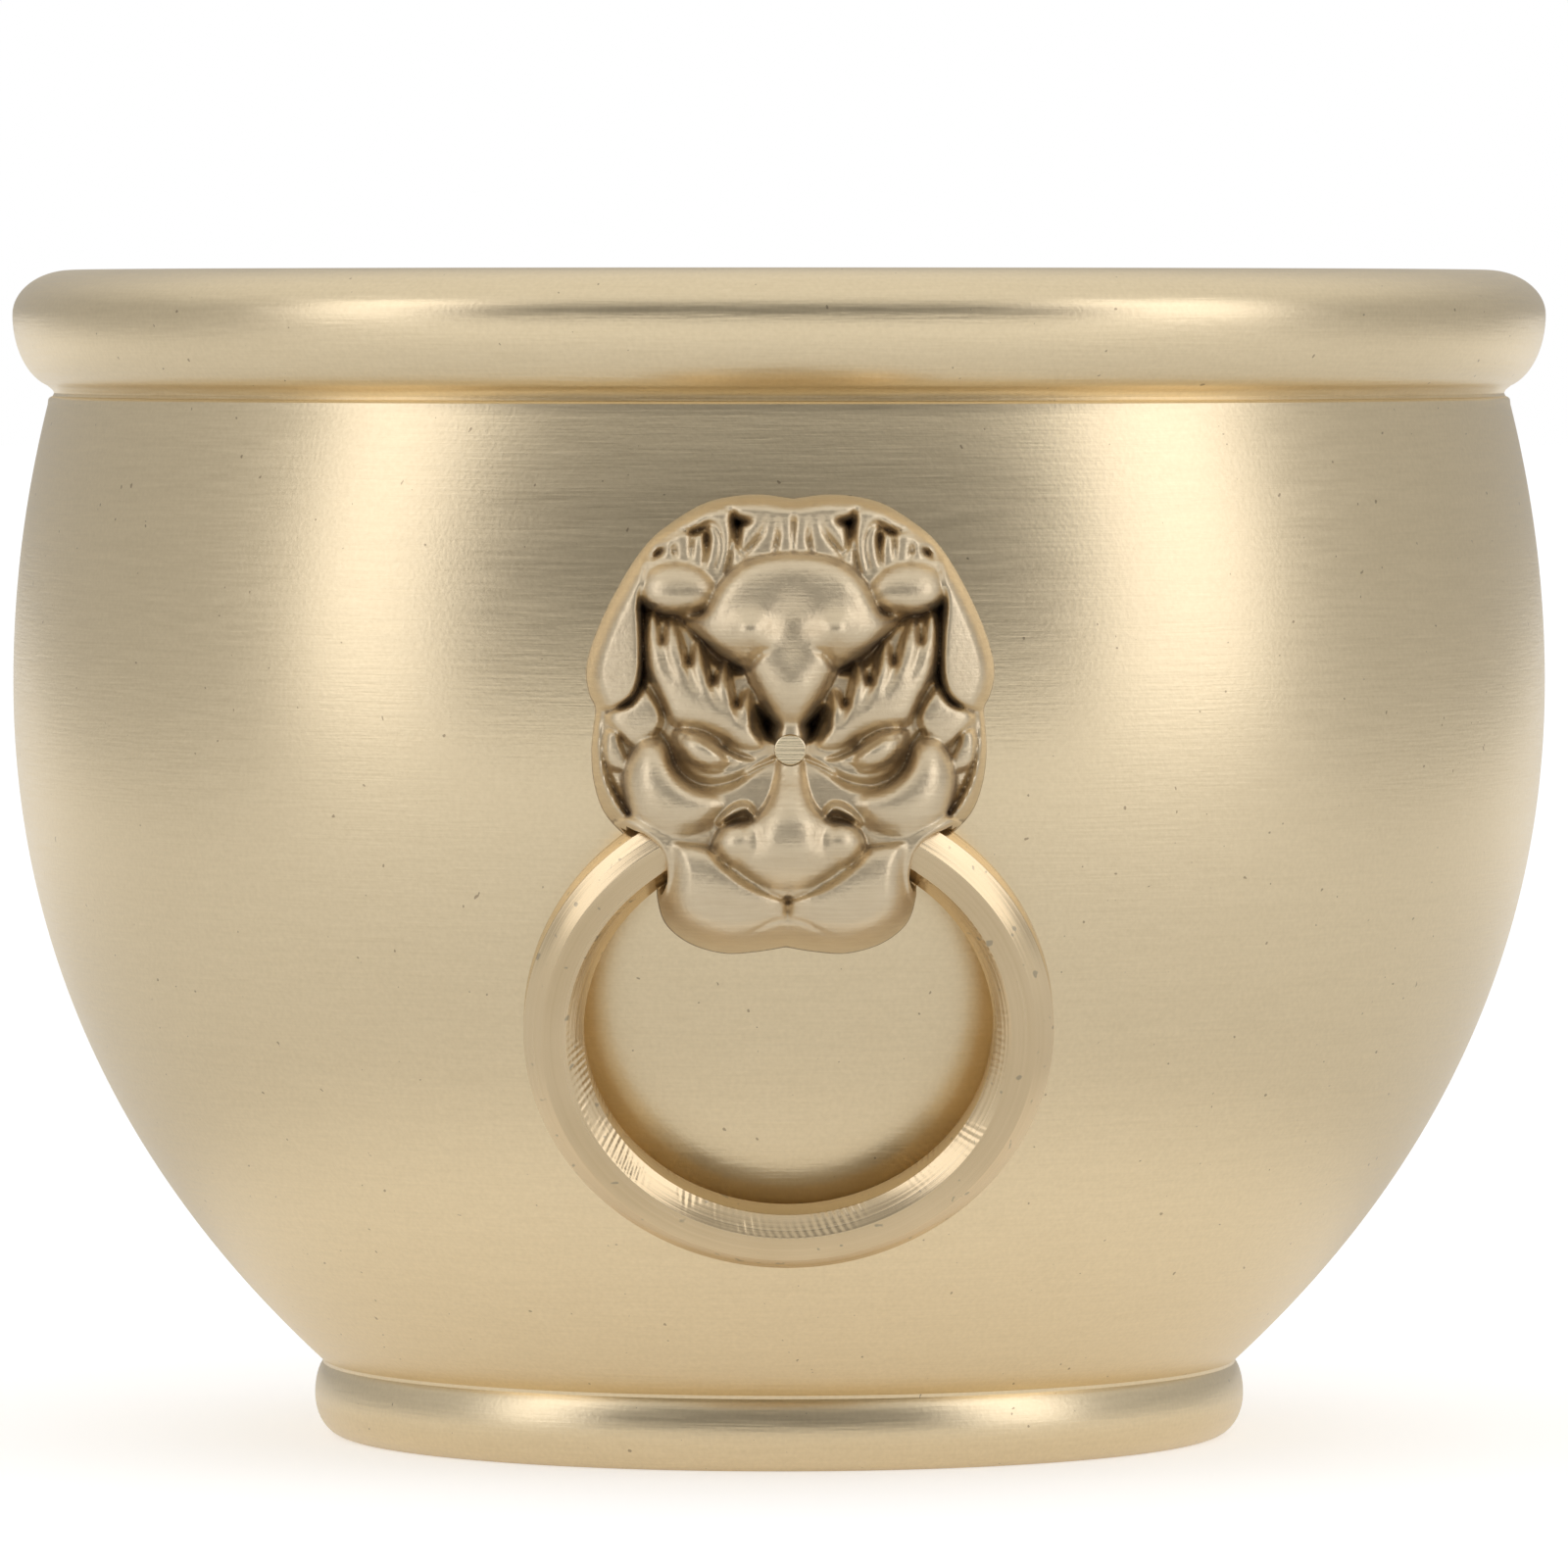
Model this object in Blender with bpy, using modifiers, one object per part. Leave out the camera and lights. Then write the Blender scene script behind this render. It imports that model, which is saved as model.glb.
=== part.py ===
"""Brass planter pot: a turned bowl with a lion mask and a loose ring on its front and its back.

Metres, +Z up. The origin is the middle of the foot's base, and the front mask faces -Y.
Each mask is a casting held by one rivet through its nose bridge and by a peg behind its chin.
The muzzle is a hood over the ring's top. A block behind its chin passes through the ring and
seats on the wall, so that the wall closes the hook that the ring hangs on.
"""
import math

import bmesh
import bpy
from mathutils import Matrix, Vector

GAP = 0.0003                    # between pieces that touch

# The bowl: radii from the pot's axis and heights above the base.
RIM_RADIUS = 0.0500
RIM_HEIGHT = 0.0760
RIM_WIDEST_HEIGHT = 0.0731
RIM_TOP_RADIUS = 0.0461         # where the flat top of the bead ends
MOUTH_RADIUS = 0.0449
GROOVE_RADIUS = 0.0475
GROOVE_HEIGHT = 0.0681
BELLY_HEIGHT = 0.0491           # the belly is as wide as the rim here
NECK_RADIUS = 0.0299
NECK_HEIGHT = 0.0049
FOOT_RADIUS = 0.0304
FOOT_WIDEST_HEIGHT = 0.0026
FOOT_BASE_RADIUS = 0.0286
FOOT_INNER_RADIUS = 0.0245
FOOT_RECESS = 0.0026
WALL = 0.0026
FLOOR_HEIGHT = 0.0062
FLOOR_RADIUS = 0.0210
TURNING_STEPS = 72

# The ring: an octagonal bar turned round a mean radius.
RING_RADIUS = 0.01447
RING_BAR = 0.0037               # across the flats
RING_STEPS = 48
RING_LEAN = math.radians(22.5)  # from upright, its lower side resting on the belly
RING_CENTRE_HEIGHT = 0.0293
RING_CENTRE_OUT = 0.04755       # from the pot's axis
RING_SWING = math.radians(40)
HINGE_BELOW_BAR = 0.0008        # the hinge axis, from the middle of the bar at the ring's top
RING_CLEARANCE = 0.00035
SWEEP_STEPS = 3                 # the mask is cut at this many steps of the ring's swing

# The rivet, its peened end ground flush with the nose bridge.
RIVET_HEIGHT = 0.0466
RIVET_RADIUS = 0.00095
RIVET_FACE_OUT = 0.0556
RIVET_HEAD_RADIUS = 0.0020
RIVET_HEAD_RISE = 0.0010

# The mask: x from its middle, heights above the base, and how far out from the pot's axis.
MASK_PLATE = 0.0023
MASK_OUTLINE = (                # right half, from the crown's middle down to the chin's middle
    (0.0, 0.0619), (0.0021, 0.0621), (0.0054, 0.0616), (0.0086, 0.0593), (0.0108, 0.0562),
    (0.0123, 0.0526), (0.0122, 0.0506), (0.0116, 0.0492), (0.0120, 0.0465), (0.0116, 0.0439),
    (0.0098, 0.0413), (0.0080, 0.0396), (0.0079, 0.0372), (0.0066, 0.0351), (0.0036, 0.0342),
    (0.0, 0.0345))
LUMP_BASE = 0.0490              # every lump is a half-sunk ellipsoid centred this far out
# Each lump: x, height, half width, how far it stands out, half height, tilt in degrees.
MIDDLE_LUMPS = (
    (0.0, 0.0598, 0.0074, 0.0041, 0.0018, 0),      # crown band
    (0.0, 0.0545, 0.0048, 0.0062, 0.0040, 0),      # forehead
    (0.0, 0.0482, 0.0021, 0.0068, 0.0040, 0),      # nose bridge
    (0.0, 0.0424, 0.0027, 0.0097, 0.0042, 0),      # nose
)
PAIRED_LUMPS = (
    (0.0070, 0.0561, 0.0027, 0.0050, 0.0019, 25),  # brow lobe
    (0.0105, 0.0532, 0.0018, 0.0042, 0.0042, 15),  # ear
    (0.0056, 0.0506, 0.0046, 0.0062, 0.0016, 38),  # eyebrow
    (0.0054, 0.0467, 0.0023, 0.0060, 0.0014, 18),  # eye
    (0.0077, 0.0439, 0.0032, 0.0076, 0.0031, 0),   # cheek
    (0.0030, 0.0413, 0.0018, 0.0088, 0.0016, 0),   # nostril wing
)
MUZZLE_HALF_WIDTH = 0.0078
MUZZLE_BOTTOM = 0.0344
MUZZLE_TOP = 0.0452
MUZZLE_OUT = 0.0576
MUZZLE_ROUNDING = 0.0026
PEG_RADIUS = 0.0014
PEG_DROP = 0.0038               # its axis, below the hinge axis
PEG_DEPTH = 0.0013              # into the wall

BRASS = {                       # base colour, roughness
    "pot_brass": ((0.74, 0.62, 0.42), 0.34),
    "mask_brass": ((0.66, 0.54, 0.39), 0.40),
    "ring_brass": ((0.78, 0.64, 0.40), 0.32),
    "rivet_brass": ((0.80, 0.67, 0.44), 0.30),
}


def clear_scene():
    for obj in list(bpy.data.objects):
        bpy.data.objects.remove(obj, do_unlink=True)


def make_collection(name):
    group = bpy.data.collections.new(name)
    bpy.context.scene.collection.children.link(group)
    return group


def brass(name):
    colour, roughness = BRASS[name]
    finish = bpy.data.materials.new(name)
    finish.use_nodes = True
    shader = finish.node_tree.nodes["Principled BSDF"]
    shader.inputs["Base Color"].default_value = (*colour, 1.0)
    shader.inputs["Roughness"].default_value = roughness
    shader.inputs["Metallic"].default_value = 1.0
    finish.diffuse_color = (*colour, 1.0)
    return finish


def add_object(name, mesh, group):
    obj = bpy.data.objects.new(name, mesh)
    group.objects.link(obj)
    return obj


def as_cutter(obj):
    obj.hide_render = True
    obj.display_type = "WIRE"
    return obj


def smooth(mesh, degrees=35):
    mesh.shade_smooth()
    mesh.set_sharp_from_angle(angle=math.radians(degrees))


# ---- outlines ------------------------------------------------------------------------------

def arc(centre, half_size, start, end, steps):
    """Points (radius, height) on an ellipse, between two angles in degrees."""
    points = []
    for i in range(steps + 1):
        angle = math.radians(start + (end - start) * i / steps)
        points.append((centre[0] + half_size[0] * math.cos(angle),
                       centre[1] + half_size[1] * math.sin(angle)))
    return points


def bezier(a, b, c, d, steps):
    points = []
    for i in range(steps + 1):
        t = i / steps
        weights = ((1 - t) ** 3, 3 * t * (1 - t) ** 2, 3 * t * t * (1 - t), t ** 3)
        points.append(tuple(sum(w * p[k] for w, p in zip(weights, (a, b, c, d))) for k in (0, 1)))
    return points


def upper_belly(steps):
    """From the groove down to the widest part of the belly, a parabola."""
    points = []
    for i in range(steps + 1):
        height = GROOVE_HEIGHT + (BELLY_HEIGHT - GROOVE_HEIGHT) * i / steps
        rise = (height - BELLY_HEIGHT) / (GROOVE_HEIGHT - BELLY_HEIGHT)
        points.append((RIM_RADIUS - (RIM_RADIUS - GROOVE_RADIUS) * rise ** 2, height))
    return points


def lower_belly(steps):
    """From the widest part of the belly down to the neck above the foot."""
    return bezier((RIM_RADIUS, BELLY_HEIGHT), (RIM_RADIUS, 0.0307), (0.0420, 0.0161),
                  (NECK_RADIUS, NECK_HEIGHT), steps)


def belly_outline(steps):
    return upper_belly(steps) + lower_belly(steps)[1:]


def bowl_outline():
    """The whole section, from the middle of the floor, up the inside, over and down the outside."""
    inside = [(radius - WALL, height) for radius, height in reversed(belly_outline(6))
              if radius - WALL > FLOOR_RADIUS + 0.007]
    floor = [(0.0, FLOOR_HEIGHT)]
    floor += bezier((FLOOR_RADIUS, FLOOR_HEIGHT), (FLOOR_RADIUS + 0.004, FLOOR_HEIGHT),
                    (inside[0][0] - 0.002, inside[0][1] - 0.0019), inside[0], 3)
    mouth = arc((MOUTH_RADIUS + 0.0008, RIM_HEIGHT - 0.0008), (0.0008, 0.0008), 180, 90, 2)
    bead = arc((RIM_TOP_RADIUS, RIM_WIDEST_HEIGHT),
               (RIM_RADIUS - RIM_TOP_RADIUS, RIM_HEIGHT - RIM_WIDEST_HEIGHT), 90, 0, 4)
    bead += arc((GROOVE_RADIUS - 0.0006, RIM_WIDEST_HEIGHT),
                (RIM_RADIUS - GROOVE_RADIUS + 0.0006, RIM_WIDEST_HEIGHT - GROOVE_HEIGHT - 0.0003),
                0, -72, 4)[1:]
    outside = belly_outline(7)
    foot = arc((NECK_RADIUS - 0.0004, FOOT_WIDEST_HEIGHT),
               (FOOT_RADIUS - NECK_RADIUS + 0.0004, NECK_HEIGHT - FOOT_WIDEST_HEIGHT), 65, 0, 2)
    foot += arc((FOOT_BASE_RADIUS, FOOT_WIDEST_HEIGHT),
                (FOOT_RADIUS - FOOT_BASE_RADIUS, FOOT_WIDEST_HEIGHT), 0, -90, 3)[1:]
    recess = [(FOOT_INNER_RADIUS, 0.0), (FOOT_INNER_RADIUS - 0.0006, FOOT_RECESS), (0.0, FOOT_RECESS)]
    return floor + inside[1:] + mouth + bead + outside + foot + recess


# ---- shapes --------------------------------------------------------------------------------

def turned(name, outline, steps, group, closed=False):
    """A lathe piece round +Z. The outline lies at +X and runs down the outside."""
    mesh = bpy.data.meshes.new(name)
    count = len(outline)
    edges = [(i, (i + 1) % count) for i in range(count if closed else count - 1)]
    mesh.from_pydata([(radius, 0.0, height) for radius, height in outline], edges, [])
    obj = add_object(name, mesh, group)
    screw = obj.modifiers.new("turning", "SCREW")
    screw.axis = "Z"
    screw.angle = math.tau
    screw.steps = steps
    screw.render_steps = steps
    screw.use_merge_vertices = True
    screw.merge_threshold = 0.00001
    return obj


def baked(obj, group):
    """The object's evaluated shape as a plain mesh object of the same name and place."""
    bpy.context.view_layer.update()
    evaluated = obj.evaluated_get(bpy.context.evaluated_depsgraph_get())
    mesh = bpy.data.meshes.new_from_object(evaluated)
    place = obj.matrix_world.copy()
    name = obj.name
    bpy.data.objects.remove(obj, do_unlink=True)
    shape = bmesh.new()
    shape.from_mesh(mesh)
    bmesh.ops.remove_doubles(shape, verts=shape.verts, dist=0.000002)
    shape.to_mesh(mesh)
    shape.free()
    solid = add_object(name, mesh, group)
    solid.matrix_world = place
    return solid


def combine(obj, other, operation):
    step = obj.modifiers.new(operation.lower(), "BOOLEAN")
    step.operation = operation
    step.object = other
    step.solver = "EXACT"


def bar(name, radius, start, end, group, sides=24):
    """A round bar between two points."""
    start, end = Vector(start), Vector(end)
    along = end - start
    shape = bmesh.new()
    bmesh.ops.create_cone(shape, cap_ends=True, segments=sides, radius1=radius, radius2=radius,
                          depth=along.length)
    turn = Vector((0, 0, 1)).rotation_difference(along).to_matrix().to_4x4()
    shape.transform(Matrix.Translation((start + end) / 2) @ turn)
    mesh = bpy.data.meshes.new(name)
    shape.to_mesh(mesh)
    shape.free()
    return as_cutter(add_object(name, mesh, group))


def lump(name, x, height, half_width, stands_out, half_height, tilt, group):
    """An ellipsoid, its middle sunk in the mask's plate."""
    shape = bmesh.new()
    bmesh.ops.create_uvsphere(shape, u_segments=12, v_segments=8, radius=1.0)
    place = Matrix.Translation((x, -LUMP_BASE, height))
    turn = Matrix.Rotation(math.radians(-tilt), 4, "Y")
    size = Matrix.Diagonal((half_width, stands_out, half_height, 1.0))
    shape.transform(place @ turn @ size)
    mesh = bpy.data.meshes.new(name)
    shape.to_mesh(mesh)
    shape.free()
    return as_cutter(add_object(name, mesh, group))


# ---- the bowl ------------------------------------------------------------------------------

def make_bowl(parts, cutters):
    bowl = turned("pot_body", bowl_outline(), TURNING_STEPS, parts)
    smooth(bowl.data)
    bowl.data.materials.append(brass("pot_brass"))
    peg_height = hinge_height() - PEG_DROP
    for side, name in ((-1, "front"), (1, "back")):
        rivet_hole = bar(f"{name}_rivet_hole", RIVET_RADIUS + GAP, (0, side * 0.040, RIVET_HEIGHT),
                         (0, side * 0.055, RIVET_HEIGHT), cutters)
        peg_hole = bar(f"{name}_peg_hole", PEG_RADIUS + GAP,
                       (0, side * (wall_out(peg_height) - PEG_DEPTH - GAP), peg_height),
                       (0, side * 0.055, peg_height), cutters)
        combine(bowl, rivet_hole, "DIFFERENCE")
        combine(bowl, peg_hole, "DIFFERENCE")
    return bowl


def wall_out(height):
    """How far out the belly's outer face is at this height."""
    outline = belly_outline(24)
    for (r1, z1), (r2, z2) in zip(outline, outline[1:]):
        if z2 <= height <= z1:
            return r1 + (r2 - r1) * (z1 - height) / (z1 - z2)
    return RIM_RADIUS


# ---- the ring ------------------------------------------------------------------------------

def hinge_height():
    return RING_CENTRE_HEIGHT + (RING_RADIUS - HINGE_BELOW_BAR) * math.cos(RING_LEAN)


def hinge_out():
    return RING_CENTRE_OUT + (RING_RADIUS - HINGE_BELOW_BAR) * math.sin(RING_LEAN)


def ring_section(bar_size):
    """An octagon, its outer flat run downwards, as a turned outline needs."""
    corner = bar_size / 2 / math.cos(math.pi / 8)
    points = []
    for i in range(8):
        angle = math.radians(22.5 - 45 * i)
        points.append((RING_RADIUS + corner * math.cos(angle), corner * math.sin(angle)))
    return points


def make_ring(name, bar_size, steps, hinge, group):
    """A ring hanging from its hinge, in the hinge's upright plane."""
    ring = turned(name, ring_section(bar_size), steps, group, closed=True)
    smooth(ring.data)
    ring.parent = hinge
    ring.location = (0, 0, HINGE_BELOW_BAR - RING_RADIUS)
    ring.rotation_euler = (math.pi / 2, 0, 0)
    return ring


def make_hinge(name, side, lean, group):
    """An empty on the hinge axis. Side -1 is the front, 1 the back."""
    hinge = add_object(name, None, group)
    hinge.empty_display_size = 0.01
    hinge.location = (0, side * hinge_out(), hinge_height())
    hinge.rotation_euler = (-side * lean, 0, 0)
    return hinge


# ---- the mask ------------------------------------------------------------------------------

def mask_plate(cutters):
    """The mask's outline as a slab across the wall, standing in the XZ plane."""
    left = [(-x, z) for x, z in reversed(MASK_OUTLINE[1:-1])]
    outline = list(MASK_OUTLINE) + left
    curve = bpy.data.curves.new("mask_slab", "CURVE")
    curve.dimensions = "2D"
    curve.fill_mode = "BOTH"
    curve.extrude = 0.006
    curve.resolution_u = 2
    spline = curve.splines.new("BEZIER")
    spline.bezier_points.add(len(outline) - 1)
    spline.use_cyclic_u = True
    for point, (x, z) in zip(spline.bezier_points, outline):
        point.co = (x, z, 0)
        point.handle_left_type = "AUTO"
        point.handle_right_type = "AUTO"
    slab = add_object("front_mask", curve, cutters)
    slab.location = (0, -0.0495, 0)
    slab.rotation_euler = (math.pi / 2, 0, 0)
    return baked(slab, cutters)


def belly_solid(name, stand_off, group):
    """The belly as a solid, its outer face moved out by stand_off."""
    outline = [(radius + stand_off, height) for radius, height in belly_outline(10)]
    outline = [(0.0, outline[0][1])] + outline + [(0.0, outline[-1][1])]
    return as_cutter(turned(name, outline, TURNING_STEPS, group))


def muzzle_block(group):
    """A box with rounded edges: the hood over the ring and the block that passes through it."""
    depth = MUZZLE_OUT - LUMP_BASE + 0.002
    shape = bmesh.new()
    bmesh.ops.create_cube(shape, size=1.0)
    size = Matrix.Diagonal((2 * MUZZLE_HALF_WIDTH, depth, MUZZLE_TOP - MUZZLE_BOTTOM, 1.0))
    place = Matrix.Translation((0, depth / 2 - MUZZLE_OUT, (MUZZLE_TOP + MUZZLE_BOTTOM) / 2))
    shape.transform(place @ size)
    bmesh.ops.bevel(shape, geom=shape.edges[:] + shape.verts[:], offset=MUZZLE_ROUNDING, segments=4,
                    profile=0.5, affect="EDGES")
    mesh = bpy.data.meshes.new("muzzle")
    shape.to_mesh(mesh)
    shape.free()
    return as_cutter(add_object("muzzle", mesh, group))


def make_mask(parts, cutters):
    mask = mask_plate(cutters)
    combine(mask, belly_solid("plate_face", GAP + MASK_PLATE, cutters), "INTERSECT")
    lumps = [(f"middle_lump_{i}", *sizes) for i, sizes in enumerate(MIDDLE_LUMPS)]
    for i, (x, *sizes, tilt) in enumerate(PAIRED_LUMPS):
        lumps += [(f"right_lump_{i}", x, *sizes, tilt), (f"left_lump_{i}", -x, *sizes, -tilt)]
    for sizes in lumps:
        combine(mask, lump(*sizes, cutters), "UNION")
    combine(mask, muzzle_block(cutters), "UNION")
    peg_height = hinge_height() - PEG_DROP
    combine(mask, belly_solid("seat", GAP, cutters), "DIFFERENCE")
    for i in range(SWEEP_STEPS + 1):
        lean = RING_LEAN - RING_SWING * i / SWEEP_STEPS
        hinge = make_hinge(f"sweep_{i}", -1, lean, cutters)
        # Unequal turning steps keep the edges of neighbouring cuts from meeting.
        room = make_ring(f"ring_room_{i}", RING_BAR + 2 * RING_CLEARANCE, 37 + 2 * i, hinge, cutters)
        combine(mask, as_cutter(room), "DIFFERENCE")
    peg = bar("peg", PEG_RADIUS, (0, -(wall_out(peg_height) - PEG_DEPTH), peg_height),
              (0, -0.0515, peg_height), cutters)
    combine(mask, peg, "UNION")
    hole = bar("mask_rivet_hole", RIVET_RADIUS + GAP, (0, -0.045, RIVET_HEIGHT),
               (0, -0.060, RIVET_HEIGHT), cutters)
    combine(mask, hole, "DIFFERENCE")
    front = baked(mask, parts)
    smooth(front.data, 50)
    front.data.materials.append(brass("mask_brass"))
    back = add_object("back_mask", front.data, parts)
    back.matrix_world = Matrix.Rotation(math.pi, 4, "Z") @ front.matrix_world
    return front, back


# ---- the rivet -----------------------------------------------------------------------------

def make_rivet(name, side, parts):
    """Turned round its own axis, which then points out of the wall."""
    seat = wall_out(RIVET_HEIGHT) - WALL - GAP
    face_edge = 0.0001
    outline = [(0.0, RIVET_FACE_OUT), (RIVET_RADIUS - face_edge, RIVET_FACE_OUT),
               (RIVET_RADIUS, RIVET_FACE_OUT - face_edge), (RIVET_RADIUS, seat)]
    outline += arc((0.0, seat - 0.0003), (RIVET_HEAD_RADIUS, RIVET_HEAD_RISE), 0, -90, 5)
    outline.insert(4, (RIVET_HEAD_RADIUS, seat))
    outline[-1] = (0.0, outline[-1][1])
    rivet = turned(name, outline, 24, parts)
    smooth(rivet.data)
    rivet.data.materials.append(brass("rivet_brass"))
    rivet.location = (0, 0, RIVET_HEIGHT)
    rivet.rotation_euler = (-side * math.pi / 2, 0, 0)
    return rivet


def main():
    clear_scene()
    parts = make_collection("brass_planter_pot")
    cutters = make_collection("cutters")
    make_bowl(parts, cutters)
    make_mask(parts, cutters)
    for side, name in ((-1, "front"), (1, "back")):
        hinge = make_hinge(f"{name}_ring_hinge", side, RING_LEAN, parts)
        ring = make_ring(f"{name}_ring", RING_BAR, RING_STEPS, hinge, parts)
        ring.data.materials.append(brass("ring_brass"))
        make_rivet(f"{name}_rivet", side, parts)


main()
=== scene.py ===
import math

import bmesh
import bpy
import numpy as np
from mathutils import Matrix, Vector


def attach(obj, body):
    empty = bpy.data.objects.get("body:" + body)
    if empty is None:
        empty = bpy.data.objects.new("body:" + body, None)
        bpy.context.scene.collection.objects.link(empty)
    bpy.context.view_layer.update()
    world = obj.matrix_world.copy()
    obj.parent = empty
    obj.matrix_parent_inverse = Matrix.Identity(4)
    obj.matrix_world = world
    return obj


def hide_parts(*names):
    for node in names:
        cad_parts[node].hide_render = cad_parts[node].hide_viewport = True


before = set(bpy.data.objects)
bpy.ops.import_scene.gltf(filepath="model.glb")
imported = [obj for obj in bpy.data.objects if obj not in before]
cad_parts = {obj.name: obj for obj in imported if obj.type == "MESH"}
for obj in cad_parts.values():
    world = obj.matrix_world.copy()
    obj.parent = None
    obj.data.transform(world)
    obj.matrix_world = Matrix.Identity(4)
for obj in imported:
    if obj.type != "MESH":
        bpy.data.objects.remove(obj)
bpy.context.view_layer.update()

# ---- sizes, in metres ------------------------------------------------------------------------

RIM_RADIUS = 0.0500
RIM_HEIGHT = 0.0760
RIM_WIDEST_HEIGHT = 0.0731
RIM_TOP_RADIUS = 0.0461
MOUTH_RADIUS = 0.0449
MOUTH_ROUNDING = 0.0009
GROOVE_RADIUS = 0.0475
GROOVE_HEIGHT = 0.0681
BELLY_HEIGHT = 0.0491
NECK_RADIUS = 0.0299
NECK_HEIGHT = 0.0049
FOOT_RADIUS = 0.0304
FOOT_WIDEST_HEIGHT = 0.0026
FOOT_BASE_RADIUS = 0.0286
FOOT_INNER_RADIUS = 0.0245
FOOT_RECESS = 0.0026
WALL = 0.0026
FLOOR_HEIGHT = 0.0062
FLOOR_RADIUS = 0.0210
FLOOR_SWEEP = 0.007  # the inside curves from the floor into the wall over this much radius
BEAD_TUCK = 0.0006  # the arcs under the rim bead and over the foot are struck from this far inside
FOOT_TUCK = 0.0004
BASE_EDGE = 0.0003
RECESS_TAPER = 0.0006

RING_RADIUS = 0.01447
RING_BAR = 0.0037
RING_EDGE = 0.00012
RING_LEAN = math.radians(22.5)
RING_CENTRE = Vector((0, -0.04755, 0.0293))
RING_SWING = math.radians(40)
HINGE = Vector((0, -0.052781, 0.04193))
RING_CLEARANCE = 0.00035

RIVET_HEIGHT = 0.0466
RIVET_RADIUS = 0.00095
RIVET_FACE_OUT = 0.0556
RIVET_HEAD_RADIUS = 0.0020
RIVET_HEAD_RISE = 0.0010

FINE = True


# ---- curves ----------------------------------------------------------------------------------

def arc(centre, half_size, start, end, steps):
    """Points (radius, height) on an ellipse, between two angles in degrees."""
    points = []
    for i in range(steps + 1):
        angle = math.radians(start + (end - start) * i / steps)
        points.append((centre[0] + half_size[0] * math.cos(angle),
                       centre[1] + half_size[1] * math.sin(angle)))
    return points


def bezier(a, b, c, d, steps):
    points = []
    for i in range(steps + 1):
        t = i / steps
        weights = ((1 - t) ** 3, 3 * t * (1 - t) ** 2, 3 * t * t * (1 - t), t ** 3)
        points.append(tuple(sum(w * p[k] for w, p in zip(weights, (a, b, c, d))) for k in (0, 1)))
    return points


def spline(points, steps=5, closed=False):
    """A smooth curve through the points. Each point may carry more values than its place."""
    p = np.array(points, dtype=float)
    if closed:
        p = np.vstack([p[-1], p, p[0], p[1]])
    else:
        p = np.vstack([2 * p[0] - p[1], p, 2 * p[-1] - p[-2]])
    t = np.arange(steps)[:, None] / steps
    pieces = []
    for a, b, c, d in zip(p, p[1:], p[2:], p[3:]):
        pieces.append(0.5 * (2 * b + (c - a) * t + (2 * a - 5 * b + 4 * c - d) * t ** 2
                             + (3 * b - a - 3 * c + d) * t ** 3))
    if not closed:
        pieces.append(p[-2:-1])
    return np.vstack(pieces)


def belly_outline(steps):
    """From the groove down to the neck above the foot, as (radius, height)."""
    points = []
    for i in range(steps):
        height = GROOVE_HEIGHT + (BELLY_HEIGHT - GROOVE_HEIGHT) * i / steps
        rise = (height - BELLY_HEIGHT) / (GROOVE_HEIGHT - BELLY_HEIGHT)
        points.append((RIM_RADIUS - (RIM_RADIUS - GROOVE_RADIUS) * rise ** 2, height))
    return points + bezier((RIM_RADIUS, BELLY_HEIGHT), (RIM_RADIUS, 0.0307), (0.0420, 0.0161),
                           (NECK_RADIUS, NECK_HEIGHT), 2 * steps)


BELLY = np.array(belly_outline(60))[::-1]


def wall_out(x, height):
    """How far in front of the pot's axis the belly's outer face is, at this x and height."""
    radius = np.interp(height, BELLY[:, 1], BELLY[:, 0])
    return np.sqrt(radius ** 2 - np.asarray(x) ** 2)


# ---- the lion's relief -----------------------------------------------------------------------
# Worked in mm on a flat grid: x is measured from the mask's middle line, z from the pot's base,
# and the relief is how far the casting stands out from the belly. The right half is mirrored.

GRID = 0.06
GRID_LEFT, GRID_RIGHT = -7.0, 13.4
GRID_BOTTOM, GRID_TOP = 33.6, 63.2

# a blown-up mass has settled when its error has fallen to this, or after this many steps
SETTLED = 1e-7
MOST_STEPS = 400

# the mask's middle line passes this far to the right of the pot's at this height, and leans
MIDDLE_SHIFT = 0.05
MIDDLE_HEIGHT = 48.5
MIDDLE_LEAN = 0.0165

# metal kept round the ring's bar, and how far from the bar's middle line it reaches
HOOD_RADIUS = 2.75
HOOD_REACH = 2.7


def blend_max(a, b, blend):
    mix = np.clip(0.5 + 0.5 * (a - b) / blend, 0, 1)
    return b * (1 - mix) + a * mix + blend * mix * (1 - mix) * 0.5


def blend_min(a, b, blend):
    return -blend_max(-a, -b, blend)


def softened(field, width):
    """The field blurred by a Gaussian of this many grid steps."""
    reach = int(3 * width + 1)
    weights = np.exp(-0.5 * (np.arange(-reach, reach + 1) / width) ** 2)
    weights /= weights.sum()
    for axis in (0, 1):
        padded = np.pad(field, [(reach, reach) if a == axis else (0, 0) for a in (0, 1)], "edge")
        size = field.shape[axis]
        field = sum(w * np.take(padded, range(i, i + size), axis) for i, w in enumerate(weights))
    return field


def along(x, z, line):
    """Distance to a line, and the line's other values at its nearest point."""
    best = np.full(x.shape, 1e9)
    extra = np.zeros(x.shape + (line.shape[1] - 2,))
    for a, b in zip(line[:-1], line[1:]):
        step = b[:2] - a[:2]
        t = np.clip(((x - a[0]) * step[0] + (z - a[1]) * step[1]) / max(step @ step, 1e-12), 0, 1)
        distance = np.hypot(x - a[0] - t * step[0], z - a[1] - t * step[1])
        closer = distance < best
        best = np.where(closer, distance, best)
        extra[closer] = (a[2:] + t[..., None] * (b[2:] - a[2:]))[closer]
    return best, extra


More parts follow.
